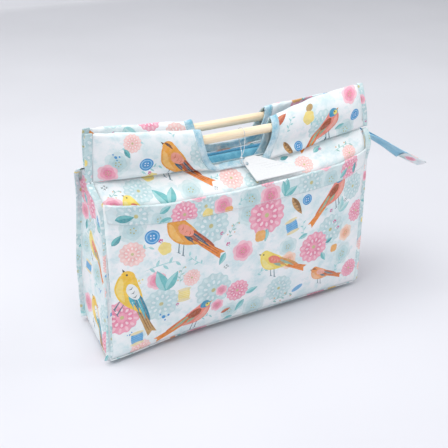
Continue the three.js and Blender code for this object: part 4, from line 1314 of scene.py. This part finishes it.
def notch_outline(cloth, shift):
    """The notch in flat coordinates: down, across and up the outer face, then the same on the inner."""
    turns = np.linspace(0, math.pi / 2, 9)
    corner = lambda edge, sign: [
        (edge + sign * NOTCH_CORNER * (1 - math.cos(a)), NOTCH_Z + NOTCH_CORNER * (1 - math.sin(a)))
        for a in (turns if sign > 0 else turns[::-1])
    ]
    across = [(x, NOTCH_Z) for x in np.linspace(NOTCH_LEFT_X, NOTCH_RIGHT_X, 24)[7:-7]]
    path = corner(NOTCH_LEFT_X, 1) + across + corner(NOTCH_RIGHT_X, -1)
    outer = []
    for x, z in path:
        flat_x = x + HALF + shift
        full = cloth.length(flat_x) / 2
        top = sleeve_top_of(cloth, flat_x)
        outer.append((flat_x, full * min(1.0, (z - SLEEVE_BASE_Z) / (top - SLEEVE_BASE_Z))))
    left, right = outer[0], outer[-1]
    rise_left = [(left[0], y) for y in np.linspace(cloth.length(left[0]) / 2, left[1], 5)[:-1]]
    rise_right = [(right[0], y) for y in np.linspace(right[1], cloth.length(right[0]) / 2, 5)[1:]]
    front = rise_left + outer + rise_right
    back = [(x, cloth.length(x) - y) for x, y in front[-2:0:-1]]
    return front + back


def sleeve_top_of(cloth, flat_x):
    return cloth.at([(flat_x, cloth.length(flat_x) / 2)])[0][0][2]


def turned_edge(cloth, loop, width, lift=0.35):
    """A strip folded over an edge of cloth. loop is the edge in flat coordinates, and the strip reaches width
    into the cloth on both faces. Returns the folded strip as cloth, and its outer line of stitching."""
    loop = np.asarray(loop, float)
    closed = np.concatenate([loop, loop[:1]])
    even = resample(closed, max(24, int(length_of(closed) / 2.2)))[0][:-1]
    along = np.roll(even, -1, axis=0) - np.roll(even, 1, axis=0)
    along /= np.linalg.norm(along, axis=1, keepdims=True)
    inward = np.stack([-along[:, 1], along[:, 0]], 1)
    if signed_area(even) > 0:
        inward = -inward
    section = [(width, lift * 0.4), (width - 0.3, lift), (width * 0.5, lift * 1.15), (0.8, lift),
               (-0.4, lift * 0.4), (-0.9, -CLOTH / 2), (-0.4, -CLOTH - lift * 0.4), (0.8, -CLOTH - lift),
               (width * 0.5, -CLOTH - lift), (width - 0.3, -CLOTH - lift), (width, -CLOTH - lift * 0.4)]
    rows = [cloth.at(even + inward * reach) for reach, _ in section]
    columns = []
    for k in list(range(len(even))) + [0]:
        columns.append([rows[i][0][k] + rows[i][1][k] * section[i][1] for i in range(len(section))])
    strip = Cloth(columns, 26, np.zeros((1, 1)))
    stitched = cloth.at(even + inward * (width - 1.4))
    facing = strip.normals[:, 4].mean(axis=0) @ rows[2][1].mean(axis=0)
    if facing < 0:
        strip.normals *= -1
    return strip, (stitched[0] + stitched[1] * lift, stitched[1])


# ---- Fins: strips of cloth folded round a seam's raw edges ----
def fin_cloth(path, thick, width=BINDING_WIDTH, half=1.3, reach=(1, 0, 0)):
    """path is where the fin leaves its seam, thick the direction through it, and reach the way it points."""
    columns = []
    reach = np.array(reach, float)
    for point, across in zip(path, thick):
        wobble = 0.5 * noise.noise(Vector(point) / 16.0)
        upper = [(-1.5, 0.75), (0, 0.95), (width * 0.5, 1.0), (width - 1.2, 0.92), (width - 0.2, 0.5)]
        section = upper + [(width, 0)] + [(a, -b) for a, b in upper[::-1]]
        columns.append([point + reach * a + across * (half * b + wobble) for a, b in rounded(section, 2)])
    return Cloth(columns, 24, thick.mean(axis=0))


def wall_fin(side, end):
    """The bound seam between a wall and a gusset."""
    line = np.array([(end * HALF, y, z) for _, y, z in wall_line(side, 1.0)])
    line = line[line[:, 2] <= SEAM_Z - 0.5]
    line = line[: np.argmax(line[:, 2]) + 1]
    path, _ = resample(settle(line), 90)
    along = np.gradient(path, axis=0)
    thick = np.cross(along, (end, 0, 0))
    thick /= np.linalg.norm(thick, axis=1, keepdims=True)
    if thick[20] @ (0, side, 0) < 0:
        thick = -thick
    return fin_cloth(path, thick, reach=(end, 0, 0))


def sleeve_fin(sleeve, end):
    """The bound end of a sleeve."""
    side = sleeve["side"]
    levels = np.linspace(0.0, 1, 40)
    full = sleeve_line(sleeve, end * (HALF - 0.01))
    count = len(full) // 2
    path = (full[: count + 1] + full[::-1][: count + 1]) / 2
    path, _ = resample(path, len(levels))
    path[:, 0] += 0.4 * end
    thick = np.tile((0.0, float(side), 0.0), (len(path), 1))
    return fin_cloth(path, thick, width=BINDING_WIDTH, half=1.5, reach=(end, 0, 0))


# ---- Building the bag ----
def shifted(layout, x=0.0, y=0.0):
    return [(kind, px + x, py + y, size, angle) for kind, px, py, size, angle in layout]


bag_stitching = Stitching()
FIN_STITCH_Y = 3.6


def row_across(cloth, y, count=160, start=2.0):
    xs = np.linspace(start, cloth.width - start, count)
    return [(x, y(x) if callable(y) else y) for x in xs]


def build_walls():
    for name, side in (("front", -1), ("back", 1)):
        cloth = wall_cloth(side)
        seam = cloth.lengths.mean() - STRIP_WIDTH
        if side < 0:
            layout = shifted(UPPER_LAYOUT, cloth.width / 2, seam)
            low = all_over(cloth.width, 100, (90, 60))
            motifs = lay_out(low + layout)
        else:
            motifs = lay_out(all_over(cloth.width, seam + 8, (215, 0)))
        piece = printed_piece(f"{name}_panel_cloth", cloth, motifs, PRINTED)
        tell(piece, "bag", f"{name}_panel")
        bag_stitching.on(cloth, row_across(cloth, lambda x: cloth.length(x) - STRIP_WIDTH - 2.2))
        line_with(wall_cloth(side, CLOTH + GAP, LINING_INSET), f"{name}_lining")


def line_with(cloth, node, step=LINING_STEP):
    """Makes one piece of the lining."""
    piece = plain_piece(f"{node}_cloth", cloth, LINING_CLOTH, LINING, step)
    tell(piece, "bag", node)


def build_gussets():
    for name, end in (("left", -1), ("right", 1)):
        cloth = gusset_cloth(end)
        layout = GUSSET_LAYOUT if end < 0 else all_over(cloth.width, 236, (150, 90))
        piece = printed_piece(f"{name}_gusset_cloth", cloth, lay_out(layout), PRINTED)
        tell(piece, "bag", f"{name}_gusset")
        line_with(gusset_cloth(end, CLOTH + 2 * GAP), f"{name}_lining")


def build_base():
    cloth = base_cloth()
    motifs = lay_out(all_over(cloth.width, DEPTH + 20, (60, 120)))
    piece = printed_piece("base_panel_cloth", cloth, motifs, PRINTED)
    tell(piece, "bag", "base_panel")
    high = cad_box("base_lining")[1]
    inner = base_cloth(high[2], HALF - high[0])
    inner.normals *= -1
    line_with(inner, "base_lining", 6.0)
    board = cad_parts["base_board"]
    board.data.materials.clear()
    board.data.materials.append(BOARD)


def build_pocket():
    cloth = pocket_cloth()
    layout = shifted(POCKET_LAYOUT, cloth.width / 2)
    piece = printed_piece("front_pocket_cloth", cloth, lay_out(layout), PRINTED)
    strip = hem_cloth(cloth)
    motifs = lay_out(shifted(HEM_LAYOUT, strip.width / 2))
    hem = printed_piece("pocket_hem", strip, motifs, PRINTED, thickness=HEM_THICKNESS)
    tell(piece, "bag", "front_pocket")
    tell(hem, "bag", None)
    bag_stitching.on(strip, row_across(strip, 1.6))
    bag_stitching.on(strip, row_across(strip, HEM_WIDTH - 1.0))


def printed_fin(name, cloth, seed, spacing):
    layout = scattered(seed, cloth.width, cloth.lengths.mean(), spacing)
    return printed_piece(name, cloth, lay_out(layout), PRINTED, thickness=BINDING_THICKNESS, step=2.6)


def build_wall_fins():
    for name, side in (("front", -1), ("back", 1)):
        for end_name, end in (("left", -1), ("right", 1)):
            cloth = wall_fin(side, end)
            piece = printed_fin(f"{name}_{end_name}_binding_cloth", cloth, 41 + side + 3 * end, 19.0)
            tell(piece, "bag", f"{name}_{end_name}_binding")
            bag_stitching.on(cloth, row_across(cloth, FIN_STITCH_Y, 120, 3), lift=0.05)


def build_sleeve(name):
    sleeve = SLEEVES[name]
    side = sleeve["side"]
    cloth = sleeve_cloth(sleeve)
    hole = notch_outline(cloth, sleeve["shift"])
    if side < 0:
        inner = shifted(scattered(53, cloth.width, 44, 27.0), 0, 92)
        motifs = lay_out(inner + shifted(UPPER_LAYOUT, cloth.width / 2))
    else:
        motifs = lay_out(all_over(cloth.width, 140, (300, 70)))
    piece = printed_piece(f"{name}_sleeve_cloth", cloth, motifs, PRINTED, cuts=[hole], step=4.0)
    tell(piece, None, f"{name}_sleeve")
    strip, (places, normals) = turned_edge(cloth, hole, NOTCH_BAND)
    binding = plain_piece(f"{name}_notch_binding_cloth", strip, BLUE_BINDING, 0.3, 2.0)
    tell(binding, None, f"{name}_notch_binding")
    stitching = Stitching()
    stitching.row(places, normals, lift=0.1, closed=True)
    fins = []
    for end_name, end in (("left", -1), ("right", 1)):
        fin = sleeve_fin(sleeve, end)
        fins.append(printed_fin(f"{name}_sleeve_{end_name}_fin", fin, 75 + side + 3 * end, 17.0))
        tell(fins[-1], None, f"{name}_sleeve_{end_name}_binding")
        stitching.on(fin, row_across(fin, FIN_STITCH_Y, 50, 3), lift=0.05)
    threads = stitching.make(f"{name}_sleeve_stitching", THREAD)
    for made in (piece, binding, threads, *fins):
        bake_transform(made)
    float(sheet_area(cloth, hole)) * MM * MM


def sheet_area(cloth, hole):
    """The flat area of a piece with one hole."""
    return cloth.width * cloth.lengths.mean() - abs(signed_area(np.asarray(hole)))


ROD_EASE = 1.6


def build_rod(name):
    """A turned wooden rod with eased ends, very slightly uneven along its length."""
    low, high = cad_box(f"{name}_rod")
    middle = (low + high) / 2
    xs = np.concatenate([
        low[0] + ROD_EASE * (1 - np.cos(np.linspace(0, math.pi / 2, 6))),
        np.linspace(low[0] + 3, high[0] - 3, 60),
        high[0] - ROD_EASE * (1 - np.cos(np.linspace(math.pi / 2, 0, 6))),
    ])
    radii = []
    for x in xs:
        from_end = min(x - low[0], high[0] - x)
        eased = math.sqrt(max(0.0, 1 - max(0.0, 1 - from_end / ROD_EASE) ** 2))
        radii.append(ROD_RADIUS - ROD_EASE * (1 - eased) + 0.04 * noise.noise(Vector((x / 30, 3.1, 0))))
    points, faces = tube([(x, middle[1], middle[2]) for x in xs], np.array(radii), 48)
    piece = make_mesh(f"{name}_rod_wood", points, faces, WOOD)
    tell(piece, f"{name}_rod", f"{name}_rod")


# ---- Zip ----
COIL_PITCH = 1.5
COIL_WIRE = 0.32
END_TAPE = 0.8
BAR_INSET = 2.0


def coil(points, ups, across, near, far, height):
    """A row of nylon teeth: one wire wound along points, as wide as near to far on one side of them."""
    line, _ = resample(points, max(8, int(length_of(points) / COIL_PITCH) + 1))
    steps = 10
    wire = []
    for k in range(len(line) - 1):
        for j in range(steps):
            t = j / steps
            turn = 2 * math.pi * t
            spread = mix(near, far, 0.5 - 0.5 * math.cos(turn))
            lift = height / 2 * math.sin(turn)
            at = min(len(ups) - 1, int((k + t) / len(line) * len(ups)))
            wire.append(mix(line[k], line[k + 1], t) + across[at] * spread + ups[at] * (height / 2 + lift))
    return tube(wire, COIL_WIRE, 6)


def tape_relief(grid):
    return 0.25 * cloud(grid, (24, 8, 8), 4)


TAPE_HALF = 17.5
COIL_HALF = 4.5


def zip_strip(x_low, x_high, y_near, y_far, z):
    """A run of zip tape facing up, level by the coil, with outer edges that hang with the shoulders."""
    columns = []
    for x in np.linspace(x_low, x_high, max(4, int((x_high - x_low) / 4))):
        line = []
        for y in np.linspace(y_near, y_far, 16):
            away = ease((abs(y - ZIP_Y) - COIL_HALF) / (TAPE_HALF - COIL_HALF))
            line.append((x + spread(x, ZIP_Y), y, z + min(0.0, float(seam_lift(x)) - 1.5) * away))
        columns.append(line)
    return Cloth(columns, 16, (0, 0, 1), tape_relief)


def build_zip():
    for name, side in (("front", -1), ("back", 1)):
        low, high = cad_box(f"zip_{name}_tape")
        cloth = zip_strip(low[0], high[0], low[1], high[1], high[2])
        # The tape's colour here is its own colour darkened as painted shade, for the shadow under the rods
        tape = plain_piece(f"zip_{name}_tape_cloth", cloth, ZIP_TAPE_PAINTED_SHADE, high[2] - low[2], 3.0)
        tell(tape, "bag", f"zip_{name}_tape")
        c_low, c_high = cad_box(f"zip_{name}_coil")
        near, far = sorted((abs(c_low[1] - ZIP_Y), abs(c_high[1] - ZIP_Y)))
        xs = np.linspace(c_low[0], c_high[0], 60)
        points = np.stack([xs, np.full(60, ZIP_Y), np.full(60, c_low[2])], 1)
        ups = np.tile((0, 0, 1.0), (60, 1))
        across = np.tile((0, float(side), 0), (60, 1))
        wound = coil(points, ups, across, near, far, c_high[2] - c_low[2])
        teeth = make_mesh(f"zip_{name}_teeth", *wound, NYLON)
        tell(teeth, "bag", f"zip_{name}_coil")
        from_edge = 3 if side < 0 else cloth.lengths.mean() - 3
        bag_stitching.on(cloth, row_across(cloth, from_edge))
    for name in ("left", "right"):
        low, high = cad_box(f"zip_{name}_end")
        cloth = zip_strip(low[0], high[0], low[1], high[1], low[2] + END_TAPE)
        # The end tape also takes the painted-shade copy of the tape's colour
        tape = plain_piece(f"zip_{name}_end_cloth", cloth, ZIP_TAPE_PAINTED_SHADE, END_TAPE, 2.0)
        tell(tape, "bag", f"zip_{name}_end")
        parts = []
        for side in (-1, 1):
            points = np.array([(x, ZIP_Y, low[2] + 1.0) for x in np.linspace(low[0] + 1, high[0] - 1, 8)])
            across = np.tile((0, float(side), 0), (8, 1))
            parts.append(coil(points, np.tile((0, 0, 1.0), (8, 1)), across, 0.6, 3.2, 2.0))
        for bar in (low[0] + BAR_INSET, high[0] - BAR_INSET):
            ends = [(bar, ZIP_Y + y, high[2] + z) for y, z in ((-4.5, -0.3), (0, 0.1), (4.5, -0.3))]
            for k in range(4):
                parts.append(tube(rounded(np.array(ends) + (0.5 * k, 0, 0), 4), 0.3, 6))
        teeth = make_mesh(f"zip_{name}_end_teeth", *join(parts), NYLON)
        tell(teeth, "bag", None)


def slab(outline, low, high, bevel, matrix=Matrix.Identity(4), holes=()):
    """A flat plate with eased edges, cut to outline."""
    plate = bmesh.new()
    corners = [Vector(p) for line in (outline, *holes) for p in line]
    filled = delaunay_2d_cdt(corners, [], numbered((outline, *holes)), 0, 1e-5, True)
    verts = [plate.verts.new((*v, low)) for v in filled[0]]
    in_plate = [face for face, owners in zip(filled[2], filled[5]) if list(owners) == [0]]
    faces = [plate.faces.new([verts[i] for i in face]) for face in in_plate]
    made = bmesh.ops.extrude_face_region(plate, geom=faces)
    top = [v for v in made["geom"] if isinstance(v, bmesh.types.BMVert)]
    bmesh.ops.translate(plate, verts=top, vec=(0, 0, high - low))
    bmesh.ops.recalc_face_normals(plate, faces=plate.faces)
    bmesh.ops.dissolve_limit(plate, angle_limit=0.01, verts=plate.verts, edges=plate.edges)
    sharp = [e for e in plate.edges if e.calc_face_angle(0) > 0.6]
    bmesh.ops.bevel(plate, geom=sharp, offset=bevel, segments=3, profile=0.5, affect="EDGES")
    bmesh.ops.delete(plate, geom=[v for v in plate.verts if not v.link_faces], context="VERTS")
    plate.transform(matrix)
    plate.verts.index_update()
    points = np.array([v.co for v in plate.verts])
    polygons = [tuple(v.index for v in f.verts) for f in plate.faces]
    plate.free()
    return points, polygons


def mirrored(half):
    """A closed outline from its lower half, the same above the middle line."""
    return half + [(x, -y) for x, y in half[::-1]]


def rounded_box(x, y, corner=1.2, steps=4):
    """A rectangle's outline with round corners."""
    points = []
    for cx, cy, first in ((x[1], y[1], 0), (x[0], y[1], 90), (x[0], y[0], 180), (x[1], y[0], 270)):
        inner = (cx - math.copysign(corner, cx - sum(x) / 2), cy - math.copysign(corner, cy - sum(y) / 2))
        for k in range(steps + 1):
            turn = math.radians(first + 90 * k / steps)
            points.append((inner[0] + corner * math.cos(turn), inner[1] + corner * math.sin(turn)))
    return points


def build_slider():
    low, high = cad_box("zip_slider")
    pull_low, pull_high = cad_box("zip_puller")
    x = (low[0], high[0])
    middle = (low[0] + high[0]) / 2
    nose = mirrored([(x[0], -2.6), (x[0] + 2, -4.4), (x[1] - 3, -4.6), (x[1] - 0.6, -4.2), (x[1], -3.0)])
    at_zip = Matrix.Translation((0, ZIP_Y, 0))
    plate = 1.2
    top = high[2] - 2.8
    post = rounded_box((x[0] + 0.8, x[0] + 4.6), (-0.2, 0.2), 0.15)
    parts = [
        slab(nose, low[2], low[2] + plate, 0.3, at_zip),
        slab(nose, top - plate, top, 0.35, at_zip),
        slab(post, low[2] + plate, top - plate, 0.1, at_zip),
    ]
    bridge = [(middle - 3.3, 0, top - 0.4), (middle - 3.0, 0, top + 1.6), (middle - 1.6, 0, high[2] - 0.5),
              (middle + 1.6, 0, high[2] - 0.5), (middle + 3.0, 0, top + 1.6), (middle + 3.3, 0, top - 0.4)]
    parts.append(tube(rounded(np.array(bridge) + (0, ZIP_Y, 0), 5), 0.62, 10))
    piece = make_mesh("zip_slider_body", *join(parts), METAL, smooth=False)
    tell(piece, "slider", "zip_slider")
    length = pull_high[0] - middle
    plate_outline = mirrored([(-0.6, -3.4), (7, -3.4), (length * 0.5, -2.7), (length - 5, -3.8),
                              (length - 1.2, -3.4), (length, -1.6)])
    eye = rounded_box((0.5, 5.8), (-2.3, 2.3), 0.6)
    finger = rounded_box((length - 7.5, length - 2.4), (-1.9, 1.9), 1.6)
    place = Matrix.Translation((middle, ZIP_Y, 0))
    puller = slab(plate_outline, pull_low[2], pull_high[2], 0.2, place, holes=(eye, finger))
    piece = make_mesh("zip_puller_plate", *puller, METAL, smooth=False)
    tell(piece, "puller", "zip_puller")


TAIL_LINE = (
    (197.5, -13, 234.4), (204, -13.2, 234.3), (212, -14.2, 233.2), (230, -23, 224), (256, -33, 207.5),
    (281, -44.4, 189.9),
)
TAB_LINE = (
    (279.5, -44, 190.4), (288, -47.6, 185.4), (296, -51.5, 180.5), (303, -54.6, 177), (309, -57.5, 173.5),
)


def strip_frames(line, twist):
    path = rounded(line, 10)
    along = np.gradient(path, axis=0)
    across = np.stack([-along[:, 1], along[:, 0], np.zeros(len(along))], 1)
    across /= np.linalg.norm(across, axis=1, keepdims=True)
    up = np.cross(along / np.linalg.norm(along, axis=1, keepdims=True), across)
    turn = np.radians(twist * np.linspace(0, 1, len(path)) ** 1.4)[:, None]
    return path, across * np.cos(turn) + up * np.sin(turn), up * np.cos(turn) - across * np.sin(turn)


def strip_cloth(path, across, up, half, lift=0.0, cup=0.0):
    columns = []
    for point, side, top in zip(path, across, up):
        line = []
        for s in np.linspace(-1, 1, 12):
            line.append(point + side * half * s + top * (lift - cup * s * s))
        columns.append(line)
    return Cloth(columns, 12, up.mean(axis=0), lambda grid: 0.5 * cloud(grid, 13, 9))


TAIL_TWIST = -34
TAPE_TAIL_HALF = 15.5
TAB_HALF = 13
TAB_LAYOUT = (
    ("blush", 12, 13, 15, 0), ("rose", 24, 20, 9, 0), ("haze", 6, 30, 12, 0), ("rose", 14, 40, 8, 0),
)


def build_tail():
    path, across, up = strip_frames(TAIL_LINE, TAIL_TWIST)
    cloth = strip_cloth(path, across, up, TAPE_TAIL_HALF, 0.4, 2.2)
    tape = plain_piece("zip_tail_tape_cloth", cloth, ZIP_TAPE, END_TAPE, 2.5)
    tell(tape, None, "zip_tail_tape")
    parts = []
    for side in (-1, 1):
        parts.append(coil(path + up * 1.0, up, across * side, 0.5, 2.9, 1.6))
    teeth = make_mesh("zip_tail_teeth", *join(parts), NYLON)
    tell(teeth, None, "zip_tail_coil")
    tab_path = rounded(TAB_LINE, 8)
    last_across, last_up = across[-1], up[-1]
    columns = []
    for k, point in enumerate(tab_path):
        share = k / (len(tab_path) - 1)
        narrow = TAB_HALF * (1 - 0.12 * share)
        section = [(-1, 0.3), (-0.96, 0.8), (-0.5, 1), (0, 1.25), (0.5, 1), (0.96, 0.8), (1, 0.3), (1, -0.3),
                   (0.96, -0.8), (0, -1), (-0.96, -0.8), (-1, -0.3)]
        columns.append([point + last_across * narrow * a + last_up * 1.5 * b for a, b in section])
    tab_cloth = Cloth(columns, 40, last_up, lambda grid: 0.35 * cloud(grid, 9, 3))
    tab = printed_piece("zip_tail_tab_cloth", tab_cloth, lay_out(TAB_LAYOUT), PRINTED, thickness=0.5, step=2.5)
    tell(tab, "zip_tail", "zip_tail_tab")
    for made in (tape, teeth):
        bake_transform(made)


# ---- Swing tag ----
CARD_HOLE = np.array((2, -55.7, 230.6))
CARD_DOWN = np.array((0, -0.71, -0.704)) / math.hypot(0.71, 0.704)
CARD_ALONG = np.array((1.0, 0, 0))
CARD_UP = np.cross(CARD_DOWN, CARD_ALONG)
CARD_OUTLINE = ((-5, -4), (1, -9), (14, -10), (80, 23), (80, 27), (4, 27))
CARD_THICKNESS = 0.8
LOOP_X = 5
LOOP_ROUND = ROD_RADIUS + 1.5
LOOP_DIAMETER = 0.9
ROD_Y = (ROD_LOW[1] + ROD_HIGH[1]) / 2


def card_point(along, down, above):
    return CARD_HOLE + CARD_ALONG * along + CARD_DOWN * down + CARD_UP * above


def loop_points():
    beside = lambda x, y, z: np.array((x, ROD_Y + y, ROD_Z + z))
    points = [
        card_point(-7.2, -6, 4.4),
        card_point(-6.4, -2, 3),
        card_point(-3.8, -0.2, 2.1),
        card_point(-1, 0, 1.7),
        card_point(0.1, 0, 0),
        card_point(-1, 0, -1.7),
        card_point(-4, -0.2, -1.9),
        card_point(-7, -2.2, -1.2),
        card_point(-7.6, -8, 1.2),
        beside(0, -12.4, -21),
        beside(LOOP_X - 1.5, -9.6, -9),
    ]
    for k in range(9):
        turn = math.pi * (1.1 - 1.3 * k / 8)
        points.append(beside(LOOP_X - 0.3 * k, LOOP_ROUND * math.cos(turn), LOOP_ROUND * math.sin(turn)))
    points += [beside(LOOP_X - 3.4, 0.5, -12), beside(LOOP_X - 6, -8, -19), beside(LOOP_X - 8, -12.6, -24.5)]
    points.append(card_point(-6.6, -9.6, 5.8))
    return points


def build_tag():
    path = rounded(loop_points(), 8)
    data = bpy.data.curves.new("tag_loop_nylon", "CURVE")
    data.dimensions = "3D"
    data.bevel_depth = LOOP_DIAMETER / 2 * MM
    data.bevel_resolution = 3
    spline = data.splines.new("POLY")
    spline.points.add(len(path) - 1)
    for point, place in zip(spline.points, path * MM):
        point.co = (*place, 1)
    data.materials.append(CLEAR_NYLON)
    loop = link("tag_loop_nylon", data)
    lock_at = (path[0] + path[-1]) / 2
    lock = make_mesh("tag_lock_nylon", *lock_shape(lock_at), CLEAR_NYLON)
    tell(loop, "tag_string", "tag_loop")
    tell(lock, "tag_string", "tag_lock")
    outline = np.array([(a, -d) for a, d in CARD_OUTLINE])[::-1]
    low = outline.min(axis=0)
    size = np.ptp(outline, axis=0)
    columns = []
    for x in np.linspace(0, size[0], 24):
        line = []
        for y in np.linspace(0, size[1], 14):
            along, down = low[0] + x, -(low[1] + y)
            bow = 0.8 * ((along - 30) / 40) ** 2 * min(1, max(0, (along - 8) / 20))
            line.append(card_point(along, down, CARD_THICKNESS / 2 + bow))
        columns.append(line)
    cloth = Cloth(columns, 14, CARD_UP)
    hole = ring(2.2, 20) - low
    shapes = [(points - low, colour) for points, colour in card_marks()]
    edge = [tuple(p) for p in soft_corners(outline - low, 1.0)]
    card = printed_piece("swing_tag_card", cloth, shapes, CARD, cuts=[hole], outline=edge,
                         thickness=CARD_THICKNESS, step=4.0)
    tell(card, "tag_card", "swing_tag")


def soft_corners(outline, radius):
    points = []
    count = len(outline)
    for k in range(count):
        here = outline[k]
        before = outline[k - 1] - here
        after = outline[(k + 1) % count] - here
        for t in (1.0, 0.4):
            points.append(here + before / np.linalg.norm(before) * radius * t)
        for t in (0.4, 1.0):
            points.append(here + after / np.linalg.norm(after) * radius * t)
    return points


def card_marks():
    """Faint ruled lines, with nothing written on them."""
    grey = "d3d5d8"
    shapes = []
    for k in range(3):
        x = 12 + 6 * k
        y = -3 - 3.6 * k
        for j in range(4 + k):
            start = x + 4.4 * j
            end = start + 3.1
            shapes.append(shape([(start, y), (end, y - 0.2), (end, y - 0.75), (start, y - 0.55)], grey))
    shapes.append(shape(ring(3.3, 24), "e4e6e8"))
    return shapes


def lock_shape(at):
    made = bmesh.new()
    bmesh.ops.create_icosphere(made, subdivisions=3, radius=1.5)
    for vert in made.verts:
        vert.co.z *= 0.9
        vert.co.x *= 1 + 0.12 * math.cos(3 * vert.co.z)
    made.verts.index_update()
    points = np.array([v.co for v in made.verts]) + at
    faces = [tuple(v.index for v in f.verts) for f in made.faces]
    made.free()
    return points, faces


build_tag()
build_walls()
build_gussets()
build_base()
build_pocket()
build_wall_fins()
for handle in ("front", "back"):
    build_sleeve(handle)
    build_rod(handle)
build_zip()
build_slider()
build_tail()
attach(bag_stitching.make("bag_stitching", THREAD), "bag")


# ---- Floor and light ----
def stage_material():
    s = Shader("floor", Specular_IOR_Level=0.2)
    place = s.place()
    split = s.tree.nodes.new("ShaderNodeSeparateXYZ")
    s.tree.links.new(place, split.inputs[0])
    # Painted shade: the floor is painted darker towards the camera and lighter further back (the ramp far),
    # standing in for how the light falls across the sweep
    painted_shade_share = s.math("ADD", s.math("MULTIPLY", split.outputs[1], 0.25), 0.35)
    cloudy = s.ramp(s.noise(place, 2.0, 2.0), [(0.3, "fafafa"), (0.7, "ffffff")])
    far = s.ramp(painted_shade_share, [(0.1, "d6d7de"), (0.35, "d9dae0"), (0.8, "e6e7ec")])
    tone = s.blend(1.0, far, cloudy, "MULTIPLY")
    rough = s.roughness(s.noise(place, 40.0), 0.1, 0.8)
    return s.finish(tone, rough)


def build_stage():
    """A pale sweep: a flat floor that turns up into a wall far behind."""
    profile = [(-4, 0), (1.6, 0), (2.4, 0.08), (3.0, 0.4), (3.3, 1.0), (3.35, 3.0)]
    line = rounded(profile, 8)
    points = []
    for x in np.linspace(-5, 5, 12):
        points += [(x / MM, y / MM, z / MM - 0.2) for y, z in line]
    count = len(line)
    faces = [(i * count + j, (i + 1) * count + j, (i + 1) * count + j + 1, i * count + j + 1)
             for i in range(11) for j in range(count - 1)]
    floor = make_mesh("floor", points, faces, stage_material())
    floor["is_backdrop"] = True


def add_light(name, place, target, size, power, colour=(1, 1, 1)):
    data = bpy.data.lights.new(name, "AREA")
    data.shape = "RECTANGLE"
    data.size, data.size_y = size
    data.energy = power
    data.color = colour
    light = link(name, data)
    light.location = place
    light.rotation_euler = (Vector(place) - Vector(target)).to_track_quat("Z", "Y").to_euler()


def build_light():
    centre = (0, 0, 0.12)
    add_light("key", (-0.7, 0.1, 2.2), centre, (2.0, 2.0), 48)
    add_light("fill", (-0.5, -2.2, 1.2), centre, (2.2, 1.6), 9, (0.98, 0.985, 1.0))
    add_light("side", (2.2, -0.5, 1.7), centre, (1.6, 1.4), 15)
    world = bpy.data.worlds.new("world")
    bpy.context.scene.world = world
    world.use_nodes = True
    background = world.node_tree.nodes["Background"]
    background.inputs[0].default_value = (0.93, 0.935, 0.955, 1)
    background.inputs[1].default_value = 0.52
    bpy.context.scene.view_settings.view_transform = "Standard"


build_stage()
build_light()

sizes = {"cad": CAD_BOUNDS, "visual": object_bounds()}
{key: [list(map(float, corner)) for corner in value] for key, value in sizes.items()}
